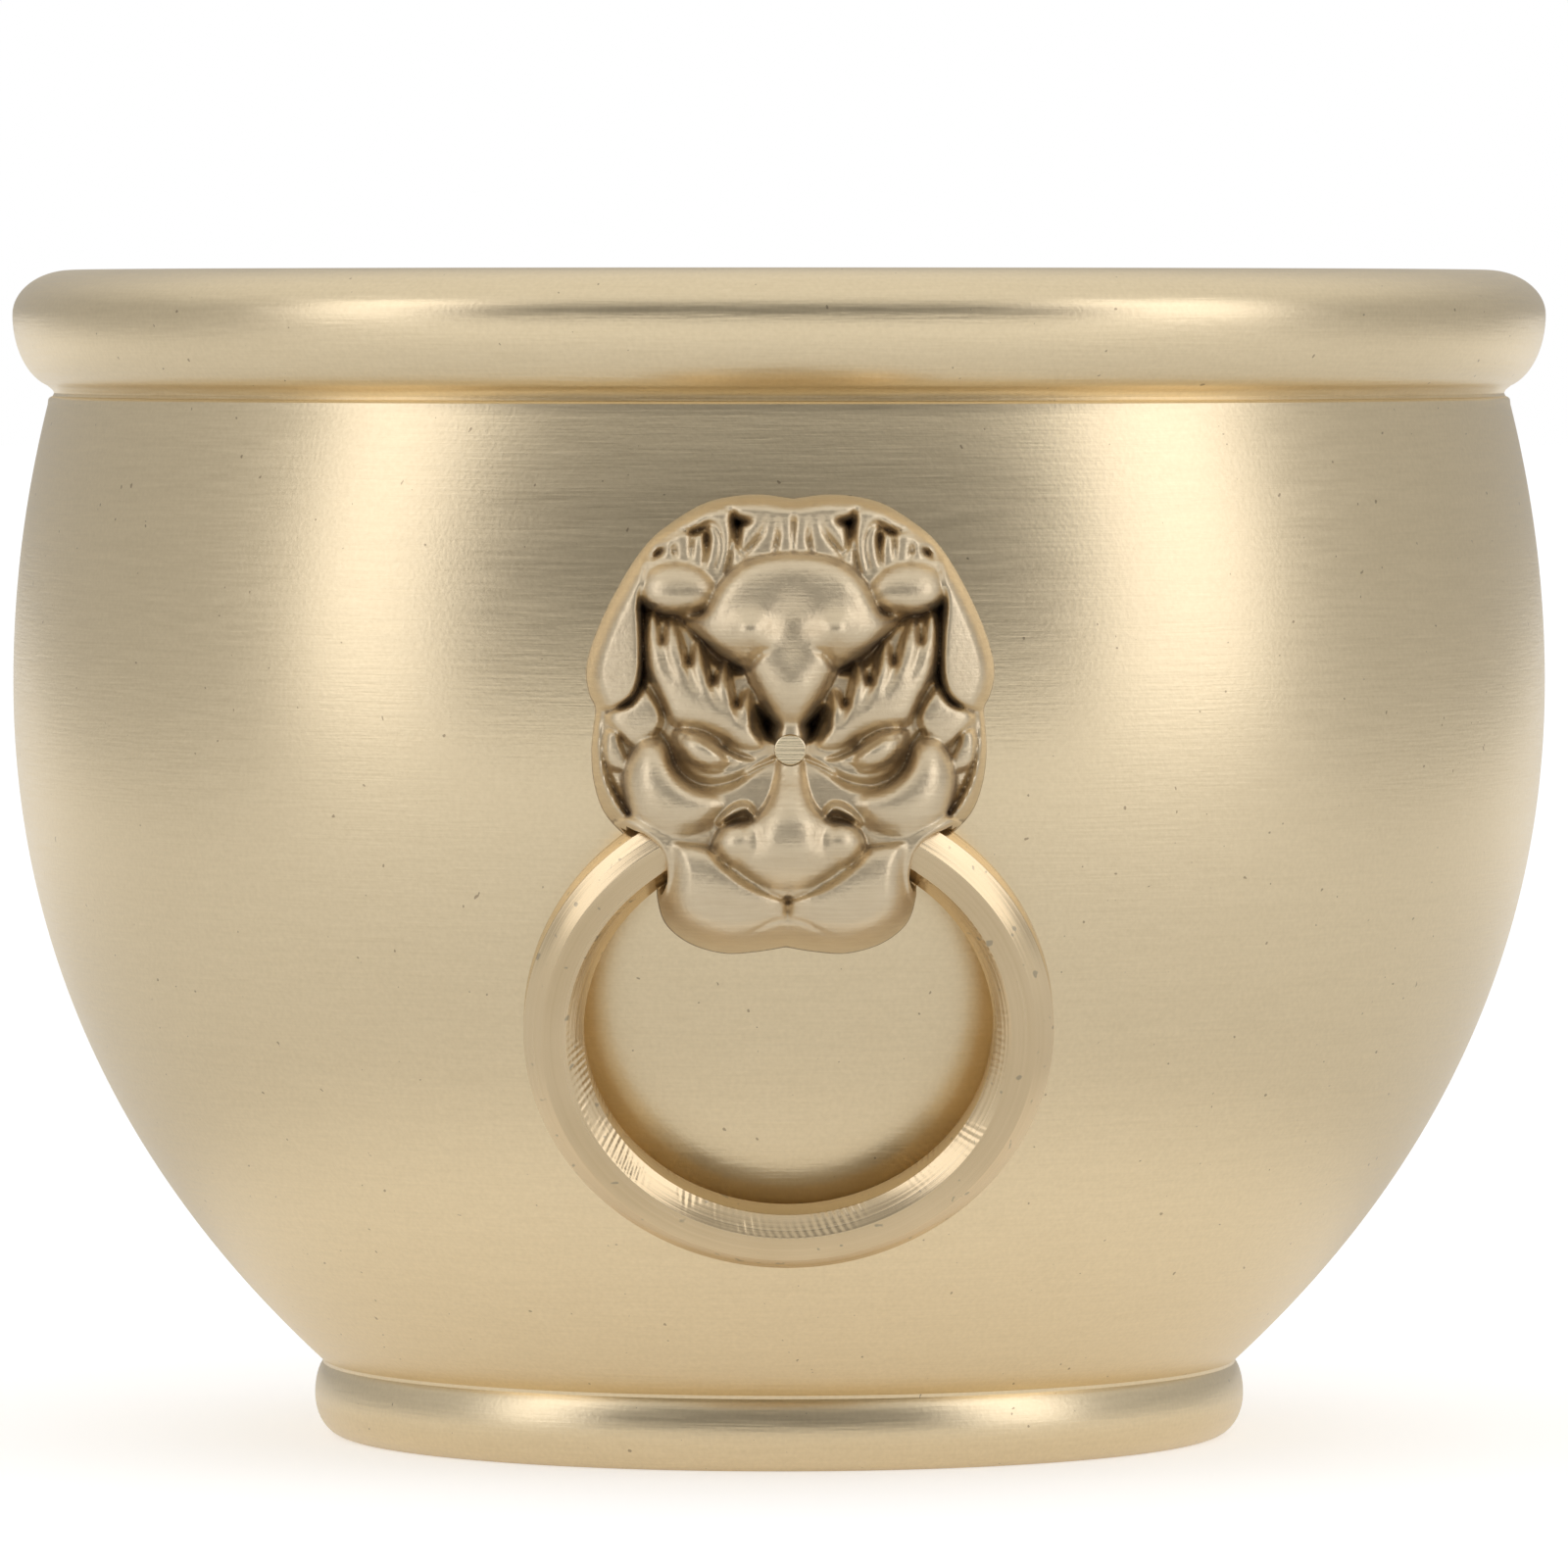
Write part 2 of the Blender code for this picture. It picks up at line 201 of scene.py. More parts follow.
def inside_by(x, z, loop):
    """How far inside a closed line the points are, negative outside it."""
    loop = np.vstack([loop, loop[:1]])
    best = np.full(x.shape, 1e9)
    inside = np.zeros(x.shape, bool)
    for a, b in zip(loop[:-1], loop[1:]):
        step = b - a
        t = np.clip(((x - a[0]) * step[0] + (z - a[1]) * step[1]) / max(step @ step, 1e-12), 0, 1)
        best = np.minimum(best, np.hypot(x - a[0] - t * step[0], z - a[1] - t * step[1]))
        if a[1] != b[1]:
            crosses = (a[1] > z) != (b[1] > z)
            inside ^= crosses & (x < a[0] + (z - a[1]) * (b[0] - a[0]) / (b[1] - a[1]))
    return np.where(inside, best, -best)


def beside(p):
    """The sum of each cell's four neighbours."""
    total = np.zeros_like(p)
    total[1:] += p[:-1]
    total[:-1] += p[1:]
    total[:, 1:] += p[:, :-1]
    total[:, :-1] += p[:, 1:]
    return total


def inflated(inside):
    """The height of a membrane held at the outline and blown up, by conjugate gradients."""
    keep = inside.astype(float)
    height = np.zeros(inside.shape)
    rest = keep * GRID ** 2
    push = rest.copy()
    size = (rest * rest).sum()
    target = size * SETTLED
    for _ in range(MOST_STEPS):
        pulled = keep * (4 * push - beside(push))
        pace = size / max((push * pulled).sum(), 1e-30)
        height += pace * push
        rest -= pace * pulled
        before, size = size, (rest * rest).sum()
        if size < target:
            break
        push = rest + size / before * push
    return np.maximum(height, 0)


class Relief:
    """A height field on the grid, built up by adding masses and cutting grooves."""

    def __init__(self):
        across = np.arange(GRID_LEFT, GRID_RIGHT, GRID)
        up = np.arange(GRID_BOTTOM, GRID_TOP, GRID)
        self.x, self.z = np.meshgrid(across, up)
        self.h = np.zeros(self.x.shape)

    def window(self, line, reach):
        low = line[:, :2].min(0) - reach
        high = line[:, :2].max(0) + reach
        left = max(int((low[0] - GRID_LEFT) / GRID), 0)
        right = max(int((high[0] - GRID_LEFT) / GRID) + 1, 1)
        bottom = max(int((low[1] - GRID_BOTTOM) / GRID), 0)
        top = max(int((high[1] - GRID_BOTTOM) / GRID) + 1, 1)
        return np.s_[bottom:top, left:right]

    def mass(self, outline, top, foot, width, blend=0.2, middle=False):
        """A blown-up shape with this outline, full height where its half width is over width."""
        outline = np.array(outline, dtype=float)
        if middle:
            outline = np.vstack([outline, (outline * (-1, 1))[-2:0:-1]])
        loop = spline(outline, 4, closed=True)
        part = self.window(loop, 0.3)
        x, z = self.x[part], self.z[part]
        distance = inside_by(x, z, loop)
        round_up = np.sqrt(2 * inflated(distance > 0)) / width
        shape = round_up / (1 + round_up ** 3) ** (1 / 3) * np.sqrt(np.clip(distance / GRID, 0, 1))
        top = top(x, z) if callable(top) else top
        foot = foot(x, z) if callable(foot) else foot
        shape = np.where(distance < 0, foot + 6 * distance, foot + (top - foot) * shape)
        self.h[part] = blend_max(self.h[part], shape, blend)

    def dome(self, cx, cz, rx, rz, top, foot, tilt=0.0, fullness=0.5, blend=0.3):
        c, s = math.cos(math.radians(tilt)), math.sin(math.radians(tilt))
        part = self.window(np.array([(cx, cz)]), 1.4 * max(rx, rz))
        x, z = self.x[part] - cx, self.z[part] - cz
        rho = np.hypot((x * c + z * s) / rx, (z * c - x * s) / rz)
        shape = np.where(rho < 1, np.maximum(1 - rho ** 2, 0) ** fullness, 3 - 3 * rho)
        self.h[part] = blend_max(self.h[part], foot + (top - foot) * shape, blend)

    def swell(self, cx, cz, rx, rz, rise, tilt=0.0):
        """A soft rise, or a soft hollow if rise is negative."""
        c, s = math.cos(math.radians(tilt)), math.sin(math.radians(tilt))
        for side in (1, -1):
            x, z = self.x * side - cx, self.z - cz
            self.h += rise * np.exp(-((x * c + z * s) / rx) ** 2 - ((z * c - x * s) / rz) ** 2)

    def ridge(self, points, blend=0.2, fullness=0.5):
        """A rounded ridge along points of (x, z, half width, top, foot)."""
        line = spline(points)
        part = self.window(line, 1.5 * line[:, 2].max() + 0.2)
        distance, extra = along(self.x[part], self.z[part], line)
        width, top, foot = np.maximum(extra[..., 0], 0.02), extra[..., 1], extra[..., 2]
        rho = distance / width
        shape = np.where(rho < 1, np.maximum(1 - rho ** 2, 0) ** fullness, 3 - 3 * rho)
        self.h[part] = blend_max(self.h[part], foot + (top - foot) * shape, blend)

    def groove(self, points, sharp=1.0):
        """A groove along points of (x, z, half width, depth)."""
        line = spline(points)
        part = self.window(line, 3 * line[:, 2].max())
        distance, extra = along(self.x[part], self.z[part], line)
        width, depth = np.maximum(extra[..., 0], 0.02), extra[..., 1]
        self.h[part] -= depth * np.exp(-(distance / width) ** (2 * sharp))


MASK_EDGE = (
    (0.0, 61.9), (2.1, 62.15), (4.0, 62.0), (5.6, 61.55), (7.2, 60.6), (8.6, 59.5), (9.7, 58.1),
    (10.8, 56.2), (11.75, 54.2), (12.4, 52.3), (12.55, 51.0), (12.3, 49.8), (11.95, 49.0), (12.05, 47.8),
    (12.15, 46.3), (11.95, 44.4), (11.3, 42.6), (10.0, 41.2), (8.5, 40.1), (8.0, 38.9), (7.95, 37.3),
    (7.4, 35.7), (5.9, 34.5), (3.8, 33.9), (1.8, 34.0), (0.0, 34.3))


def mask_edge():
    right = spline(MASK_EDGE, 8)
    left = right[-2:0:-1] * (-1, 1)
    return np.vstack([right, left])


def profile(points, z):
    """A smooth rise and fall with height, through points of (z, value) given from low to high."""
    line = spline(points, 12)
    return np.interp(z, line[:, 0], line[:, 1])


def ring_hood(x, z):
    """The least relief that leaves some casting over the ring, through its whole swing."""
    least = np.full(x.shape, -9.0)
    wall = wall_out(x * 0.001, z * 0.001) * 1000
    turn = np.radians(np.arange(-44, 45, 4))
    for swing in np.linspace(0, RING_SWING, 5):
        up = (RING_CENTRE.z - HINGE.z + RING_RADIUS * np.cos(turn) * math.cos(RING_LEAN)) * 1000
        out = (-RING_CENTRE.y + HINGE.y + RING_RADIUS * np.cos(turn) * math.sin(RING_LEAN)) * 1000
        swung_out = out * math.cos(swing) - up * math.sin(swing)
        swung_up = up * math.cos(swing) + out * math.sin(swing)
        line = np.stack([RING_RADIUS * 1000 * np.sin(turn), HINGE.z * 1000 + swung_up,
                         -HINGE.y * 1000 + swung_out], -1)
        distance, extra = along(x, z, line)
        over = extra[..., 0] + np.sqrt(np.maximum(HOOD_RADIUS ** 2 - distance ** 2, 0)) - wall
        least = np.maximum(least, np.where(distance < HOOD_REACH, over, -9))
    return least


def lion_relief():
    """The finished relief, on the grid."""
    face = Relief()
    x, z = face.x, face.z
    edge = inside_by(x, z, mask_edge())
    muzzle = 1 / (1 + np.exp((z - 46.6) / 1.1))
    face.h = (2.7 + 0.9 * np.exp(-((z - 52.5) / 7) ** 2 - (x / 8) ** 2)
              + 3.4 * muzzle * np.exp(-(x / 9.2) ** 6))

    # crown band and the hair that falls from it
    face.mass([(0, 63.2), (4.2, 63.2), (8.0, 62.6), (11.4, 60.4), (12.6, 57.4), (9.4, 56.0), (7.5, 56.0),
               (4.0, 56.0),
               (0, 57.0)], lambda u, v: 4.1 - 0.06 * (62 - v) - 0.02 * np.abs(u), 2.2, 0.5, middle=True)
    strands = (
        [(0.0, 60.95, 0.06, 0.2), (0.0, 60.5, 0.10, 0.9), (0.0, 59.4, 0.08, 0.8), (0.0, 58.3, 0.06, 0.5)],
        [(0.88, 60.8, 0.05, 0.0), (0.93, 60.2, 0.07, 0.6), (0.98, 59.2, 0.09, 1.0),
         (1.28, 58.2, 0.07, 0.6)],
        [(1.62, 60.9, 0.05, 0.0), (1.72, 60.3, 0.07, 0.5), (1.96, 59.7, 0.08, 0.9),
         (2.55, 58.95, 0.09, 1.0), (3.1, 58.3, 0.08, 0.7)],
        [(4.2, 61.2, 0.06, 0.4), (3.85, 61.1, 0.10, 0.8), (3.68, 60.8, 0.10, 1.0), (3.72, 59.5, 0.08, 1.1),
         (3.87, 58.1, 0.09, 1.2), (4.1, 57.1, 0.08, 0.9)],
        [(3.68, 60.9, 0.08, 0.8), (3.45, 60.45, 0.18, 1.5), (3.0, 60.4, 0.17, 1.4),
         (2.55, 60.5, 0.07, 0.8)],
        [(3.42, 60.35, 0.20, 1.5), (3.42, 59.6, 0.18, 1.3), (3.36, 58.9, 0.11, 1.1),
         (3.1, 58.5, 0.08, 0.7)],
        [(5.2, 60.35, 0.08, 0.8), (4.75, 60.1, 0.08, 0.9), (4.42, 59.4, 0.07, 0.9), (4.4, 58.6, 0.07, 0.9),
         (4.65, 57.5, 0.07, 0.7)],
        [(6.85, 59.95, 0.07, 0.8), (6.3, 59.8, 0.13, 1.1), (5.8, 59.9, 0.18, 1.4), (5.3, 60.2, 0.13, 1.1)],
        [(5.35, 60.0, 0.10, 0.8), (5.3, 59.5, 0.18, 1.4), (5.3, 58.6, 0.13, 1.1), (5.4, 57.8, 0.09, 0.8)],
        [(6.1, 59.8, 0.09, 0.8), (6.2, 59.2, 0.10, 1.0), (6.25, 58.2, 0.08, 0.7)],
        [(7.2, 59.1, 0.07, 0.4), (7.3, 58.7, 0.11, 0.9), (7.15, 58.2, 0.08, 0.5)],
        [(7.8, 58.85, 0.08, 0.6), (8.2, 58.55, 0.20, 1.2), (8.55, 58.2, 0.11, 0.8)],
        [(6.7, 59.85, 0.05, 0.5), (7.8, 59.3, 0.06, 0.6), (8.6, 58.65, 0.06, 0.6), (9.2, 57.9, 0.05, 0.2)],
    )
    # first a wide, shallow trough for each strand, then its own cut
    for line in strands:
        face.groove([(u, v, 2.2 * w + 0.12, 0.18 * d) for u, v, w, d in line])
    for line in strands:
        face.groove([(u, v, 0.85 * w, d * min(1.1, 5.5 * w)) for u, v, w, d in line], sharp=1.3)

    # side lobes, highest along their inner edge
    face.mass([(9.2, 58.6), (11.5, 58.2), (13.6, 55.0), (14.2, 51.5), (13.4, 49.0), (11.6, 48.9),
               (10.4, 49.15), (9.5, 49.95), (9.15, 51.4), (9.2, 53.6), (9.3, 55.4), (9.0, 57.2)],
              lambda u, v: 4.7 - 0.24 * (u - 9.3) - 0.012 * (v - 52) ** 2, 2.4, 0.45, blend=0.5)
    face.groove([(9.35, 56.2, 0.10, 0.2), (9.12, 55.2, 0.20, 1.0), (8.98, 53.5, 0.22, 1.5),
                 (8.98, 51.8, 0.20, 1.5), (9.2, 50.4, 0.18, 1.2), (9.7, 49.5, 0.13, 0.9),
                 (10.5, 49.0, 0.09, 0.7), (11.4, 48.8, 0.08, 0.5)])

    # forehead, with two knobs and a channel between them, running down into the nose root
    face.mass([(0, 58.5), (2.0, 58.3), (3.4, 57.7), (4.4, 56.7), (5.0, 55.6), (5.5, 54.8), (6.6, 54.35),
               (5.5, 53.3), (4.4, 52.4), (3.4, 51.75), (2.8, 51.3), (2.4, 50.5), (1.75, 49.4),
               (0.95, 48.2), (0, 47.4)],
              lambda u, v: 6.7 - 0.03 * np.maximum(v - 54.6, 0) ** 2 - 0.10 * np.maximum(np.abs(u) - 3, 0)
              - 0.16 * u ** 2 / (1 + np.exp((v - 51.8) / 0.4)),
              2.9, 1.35, middle=True)
    face.swell(2.65, 53.75, 1.1, 1.05, 0.85)
    face.swell(0, 54.1, 1.2, 2.0, -0.3)
    face.swell(0, 50.6, 1.6, 1.6, 0.16)
    face.swell(1.9, 52.3, 0.8, 0.5, -0.16)

    # brow lobes
    face.mass([(4.45, 55.9), (4.9, 56.9), (6.0, 57.8), (7.6, 58.0), (8.8, 57.5), (9.35, 56.5), (9.1, 55.5),
               (7.9, 54.85), (6.2, 54.9), (5.0, 55.2)],
              lambda u, v: 6.0 - 0.25 * (v - 56.0), 3.0, 1.6)

    # rough hollow under the brow lobes and above the eyebrows
    face.groove([(9.1, 55.1, 0.22, 0.8), (8.2, 54.75, 0.22, 1.0), (7.0, 54.5, 0.20, 1.0),
                 (6.1, 53.9, 0.22, 0.8), (5.4, 53.0, 0.25, 1.0), (4.6, 52.15, 0.3, 1.3),
                 (3.6, 51.55, 0.32, 1.4), (2.75, 51.6, 0.28, 1.0), (2.0, 52.3, 0.22, 0.5),
                 (1.4, 52.6, 0.18, 0.2)])

    # eyebrows: one long mass each, with five tongues along the top
    face.mass([(7.3, 48.1), (7.95, 49.7), (8.75, 51.2), (9.0, 53.0), (8.85, 54.5), (8.5, 54.85),
               (8.15, 54.3), (7.92, 53.0), (7.72, 54.0), (7.35, 54.5), (6.85, 53.7), (6.45, 52.4),
               (6.28, 51.7), (6.1, 52.5), (5.75, 53.25), (5.3, 52.4), (4.98, 51.2), (4.8, 50.6),
               (4.55, 51.3), (4.0, 51.85), (3.65, 50.9), (3.45, 49.7), (3.33, 49.2), (3.1, 49.8),
               (2.55, 50.3), (2.25, 49.6), (2.25, 48.6), (2.15, 47.8), (1.6, 47.2), (1.05, 46.65),
               (1.3, 46.25), (2.5, 46.1), (3.4, 46.5), (4.45, 47.2), (5.65, 47.75), (6.7, 47.8)],
              lambda u, v: 6.4 - 0.22 * (u - 1.5), 3.0, 1.0, blend=0.12)
    for line in (
        [(7.9, 53.0, 0.25, 0.3), (7.6, 51.8, 0.3, 0.25), (7.0, 50.5, 0.3, 0.0)],
        [(6.28, 51.7, 0.3, 0.45), (6.0, 50.7, 0.35, 0.3), (5.4, 49.6, 0.35, 0.0)],
        [(4.8, 50.6, 0.3, 0.5), (4.5, 49.7, 0.35, 0.3), (4.0, 48.8, 0.35, 0.0)],
        [(3.33, 49.2, 0.25, 0.5), (3.1, 48.5, 0.3, 0.3), (2.8, 47.8, 0.3, 0.0)],
    ):
        face.groove(line)

    # deep hollows beside the rivet
    face.groove([(2.05, 49.1, 0.14, 0.8), (1.75, 48.6, 0.26, 2.0), (1.38, 48.0, 0.36, 3.0),
                 (1.1, 47.5, 0.33, 3.0), (0.9, 47.25, 0.2, 1.6)], sharp=1.5)

    # cheeks
    face.mass([(9.95, 44.0), (9.9, 45.4), (9.2, 46.8), (8.3, 47.1), (7.55, 46.6), (7.0, 45.4), (5.8, 44.35),
               (4.4, 44.05), (3.6, 43.9), (2.6, 43.6), (2.2, 43.1), (3.1, 42.5), (3.9, 42.1), (4.95, 41.3),
               (6.2, 40.8), (7.9, 40.7), (9.3, 41.9)],
              lambda u, v: 8.7 - 0.03 * (u - 7.0) ** 2, 4.4, 2.2, blend=0.25)

    # straps and leaf beside the cheek
    face.mass([(10.9, 48.9), (9.8, 49.3), (9.0, 50.4), (8.5, 49.9), (7.8, 48.5), (8.1, 47.4), (8.9, 46.8),
               (9.7, 46.7), (10.5, 47.5), (11.2, 48.3)],
              lambda u, v: 4.5 - 0.12 * (u - 8.8), 2.9, 0.6, blend=0.1)
    face.mass([(11.25, 47.6), (10.55, 47.65), (10.3, 46.7), (9.85, 45.8), (10.0, 45.15), (10.6, 45.2),
               (11.2, 45.7), (11.4, 46.6)], 4.0, 2.8, 0.35, blend=0.1)
    face.ridge([(11.75, 48.6, 0.4, 3.2, 1.6), (11.75, 46.6, 0.4, 3.4, 1.6), (11.5, 44.8, 0.45, 3.9, 1.6),
                (10.8, 43.2, 0.5, 4.7, 1.6), (9.8, 41.9, 0.5, 5.6, 1.8),
                (8.7, 40.9, 0.5, 6.3, 2.4)], blend=0.35)
    face.groove([(11.45, 48.2, 0.07, 0.4), (11.45, 46.8, 0.07, 0.6), (11.2, 45.3, 0.08, 0.5),
                 (10.7, 44.0, 0.09, 0.7), (10.0, 42.8, 0.09, 0.7), (9.2, 41.8, 0.08, 0.5),
                 (8.4, 41.1, 0.07, 0.2)])

    # eyes, sunk between the eyebrow and the cheek
    face.groove([(8.0, 47.6, 0.13, 0.4), (7.5, 46.9, 0.18, 0.7), (7.05, 45.7, 0.26, 0.9),
                 (6.2, 44.75, 0.30, 0.9), (4.9, 44.3, 0.32, 0.9), (3.6, 44.5, 0.30, 0.8),
                 (2.4, 45.2, 0.22, 0.6), (1.3, 45.95, 0.14, 0.5)])
    face.mass([(7.0, 47.4), (6.3, 47.75), (5.2, 47.4), (4.0, 46.6), (2.8, 46.0), (2.6, 45.6), (3.4, 45.25),
               (4.6, 44.95), (5.8, 45.2), (6.7, 46.0)], 6.2, 4.8, 0.9, blend=0.15)
    face.dome(5.3, 46.3, 1.65, 0.98, 6.9, 5.4, tilt=35, fullness=0.5, blend=0.12)
    face.groove([(7.1, 47.75, 0.07, 0.2), (6.0, 47.6, 0.10, 0.7), (4.7, 47.0, 0.12, 0.9),
                 (3.4, 46.25, 0.12, 0.8), (2.3, 45.95, 0.09, 0.5)])
    face.groove([(6.6, 47.2, 0.06, 0.2), (5.6, 47.15, 0.07, 0.5), (4.6, 46.55, 0.08, 0.6),
                 (3.7, 45.9, 0.07, 0.4)])
    face.groove([(6.75, 46.6, 0.07, 0.2), (6.2, 45.75, 0.08, 0.45), (5.2, 45.4, 0.09, 0.45),
                 (4.2, 45.4, 0.08, 0.4), (3.5, 45.65, 0.07, 0.2)])
    face.ridge([(1.0, 46.05, 0.10, 6.0, 5.0), (1.9, 45.55, 0.10, 5.9, 5.0),
                (2.7, 45.05, 0.08, 5.8, 5.0)], blend=0.08)

    # nose
    bridge = [(36.0, 5.6), (37.6, 7.6), (38.6, 8.9), (39.6, 9.5), (40.8, 9.6), (42.2, 9.2), (43.6, 8.3),
              (45.0, 7.2), (46.6, 6.2), (48.4, 5.6)]
    face.mass([(0, 48.6), (0.7, 47.6), (0.78, 46.2), (0.95, 44.8), (1.3, 43.5), (2.1, 42.5), (3.2, 42.3),
               (4.1, 41.6), (4.3, 40.7), (3.9, 39.7), (3.0, 38.95), (2.1, 38.4), (1.3, 37.9), (0, 37.5)],
              lambda u, v: profile(bridge, v) - (0.13 + 0.42 / (1 + np.exp((43.0 - v) / 0.6))) * u ** 2,
              lambda u, v: 5.4 + 0.12 * np.clip(45.5 - v, 0, 6), 0.95, blend=0.3, middle=True)
    face.dome(2.95, 40.65, 1.65, 1.45, 8.95, 7.0, fullness=0.55, blend=0.6)
    face.swell(1.9, 41.0, 0.6, 1.1, -0.22)
    face.ridge([(4.2, 42.0, 0.25, 7.6, 6.4), (3.5, 42.65, 0.32, 7.8, 6.4), (2.7, 42.95, 0.30, 7.8, 6.4),
                (2.1, 42.4, 0.18, 7.6, 6.4)], blend=0.3)
    face.groove([(2.3, 42.2, 0.11, 0.4), (3.3, 42.3, 0.13, 0.7), (4.2, 41.9, 0.17, 0.9),
                 (4.75, 41.2, 0.25, 1.0), (5.3, 40.7, 0.35, 0.9), (6.4, 40.5, 0.35, 0.6),
                 (7.4, 40.6, 0.28, 0.3)])

    # muzzle, lips and chin
    face.mass([(0.0, 38.3), (1.6, 38.3), (2.6, 38.9), (3.6, 39.8), (4.6, 40.5), (6.2, 40.8), (8.2, 41.0),
               (10.4, 40.4), (11.2, 37.6), (10.4, 34.0), (7.6, 31.9), (3.8, 31.7), (0.0, 31.7)],
              lambda u, v: 8.9 - 0.055 * (v - 38) ** 2 - 0.06 * (np.abs(u) - 4.0) ** 2, 6.4, 2.0, blend=0.6,
              middle=True)
    face.swell(0, 36.6, 0.9, 1.3, -0.2)
    face.groove([(4.6, 40.4, 0.30, 0.5), (3.9, 39.5, 0.24, 0.5), (3.0, 38.7, 0.18, 0.5),
                 (2.1, 38.1, 0.13, 0.45), (1.2, 37.7, 0.10, 0.5), (0.5, 37.45, 0.10, 0.6),
                 (0, 37.3, 0.10, 0.7)])
    face.groove([(0, 37.4, 0.12, 0.7), (0, 36.6, 0.14, 0.5), (0, 36.1, 0.13, 0.2)])
    face.groove([(0, 36.1, 0.10, 0.35), (0.9, 35.95, 0.11, 0.45), (1.8, 35.5, 0.10, 0.35),
                 (2.7, 35.0, 0.08, 0.1)])
    face.groove([(0, 35.2, 0.7, 0.2), (1.6, 34.9, 0.6, 0.15), (3.0, 34.5, 0.4, 0.0)])

    # the casting's rounded edge, and enough metal over the ring
    low = 1 / (1 + np.exp((z - 42.5) / 1.0))
    rounding = 1.15 + 1.0 * low
    fall = np.sqrt(1 - (1 - np.clip(edge / rounding, 0, 1)) ** 2)
    rise = (4.3 + 5.0 * low) * fall + 1.2 * np.maximum(edge - rounding, 0)
    hood = blend_min(ring_hood(x, z), rise, 0.3)
    relief = blend_max(softened(face.h, 1.3) * fall, hood, 0.8)
    return softened(np.where(edge > 0, relief, 0), 1.0)


def on_grid(field, x, z):
    """A grid field's values at points, mirrored in the mask's middle line, which leans a little."""
    across = (np.abs(x - MIDDLE_SHIFT - MIDDLE_LEAN * (z - MIDDLE_HEIGHT)) - GRID_LEFT) / GRID
    up = (z - GRID_BOTTOM) / GRID
    i = np.clip(across.astype(int), 0, field.shape[1] - 2)
    j = np.clip(up.astype(int), 0, field.shape[0] - 2)
    a, b = np.clip(across - i, 0, 1), np.clip(up - j, 0, 1)
    return ((field[j, i] * (1 - a) + field[j, i + 1] * a) * (1 - b)
            + (field[j + 1, i] * (1 - a) + field[j + 1, i + 1] * a) * b)


# ---- turned pieces ---------------------------------------------------------------------------

def turning_tree():
    """A lathe: the piece's own edges are the section, carried round a circle of the bed's radius."""
    tree = bpy.data.node_groups.new("turning", "GeometryNodeTree")
    face = tree.interface
    face.new_socket("Section", in_out="INPUT", socket_type="NodeSocketGeometry")
    face.new_socket("Bed radius", in_out="INPUT", socket_type="NodeSocketFloat")
    face.new_socket("Steps", in_out="INPUT", socket_type="NodeSocketInt")
    face.new_socket("Finish", in_out="INPUT", socket_type="NodeSocketMaterial")
    face.new_socket("Piece", in_out="OUTPUT", socket_type="NodeSocketGeometry")
    nodes, links = tree.nodes, tree.links
    inputs = nodes.new("NodeGroupInput")
    section = nodes.new("GeometryNodeMeshToCurve")
    circle = nodes.new("GeometryNodeCurvePrimitiveCircle")
    sweep = nodes.new("GeometryNodeCurveToMesh")
    weld = nodes.new("GeometryNodeMergeByDistance")
    weld.inputs["Distance"].default_value = 0.000002
    solid = nodes.new("GeometryNodeRealizeInstances")
    finish = nodes.new("GeometryNodeSetMaterial")
    output = nodes.new("NodeGroupOutput")
    links.new(inputs.outputs["Section"], section.inputs["Mesh"])
    links.new(inputs.outputs["Bed radius"], circle.inputs["Radius"])
    links.new(inputs.outputs["Steps"], circle.inputs["Resolution"])
    links.new(circle.outputs["Curve"], sweep.inputs["Curve"])
    links.new(section.outputs["Curve"], sweep.inputs["Profile Curve"])
    links.new(sweep.outputs["Mesh"], weld.inputs["Geometry"])
    links.new(weld.outputs["Geometry"], solid.inputs["Geometry"])
    links.new(solid.outputs["Geometry"], finish.inputs["Geometry"])
    links.new(inputs.outputs["Finish"], finish.inputs["Material"])
    links.new(finish.outputs["Geometry"], output.inputs["Piece"])
    return tree


TURNING = turning_tree()


def set_input(modifier, name, value):
    for item in modifier.node_group.interface.items_tree:
        if item.item_type == "SOCKET" and item.in_out == "INPUT" and item.name == name:
            modifier[item.identifier] = value


def add_piece(name, mesh):
    piece = bpy.data.objects.new(name, mesh)
    bpy.context.scene.collection.objects.link(piece)
    return piece


def plain_mesh(piece):
    """The piece with its modifiers worked into a plain mesh."""
    bpy.context.view_layer.update()
    shape = piece.evaluated_get(bpy.context.evaluated_depsgraph_get())
    mesh = bpy.data.meshes.new_from_object(shape)
    piece.modifiers.clear()
    piece.data = mesh
    mesh.name = piece.name
    return mesh


def turned(name, outline, bed, steps, finish, sharp, closed=False, place=None):
    """A piece turned round +Z from (radius, height) points that run down its outer side."""
    count = len(outline)
    edges = [(i, (i + 1) % count) for i in range(count if closed else count - 1)]
    mesh = bpy.data.meshes.new(name)
    mesh.from_pydata([(radius - bed, -height, 0) for radius, height in outline], edges, [])
    piece = add_piece(name, mesh)
    lathe = piece.modifiers.new("turning", "NODES")
    lathe.node_group = TURNING
    set_input(lathe, "Bed radius", bed)
    set_input(lathe, "Steps", steps)
    set_input(lathe, "Finish", finish)
    mesh = plain_mesh(piece)
    if place:
        mesh.transform(place)
    outward(mesh)
    mesh.shade_smooth()
    mesh.set_sharp_from_angle(angle=math.radians(sharp))
    return piece


def outward(mesh):
    shape = bmesh.new()
    shape.from_mesh(mesh)
    bmesh.ops.recalc_face_normals(shape, faces=shape.faces)
    shape.to_mesh(mesh)
    shape.free()


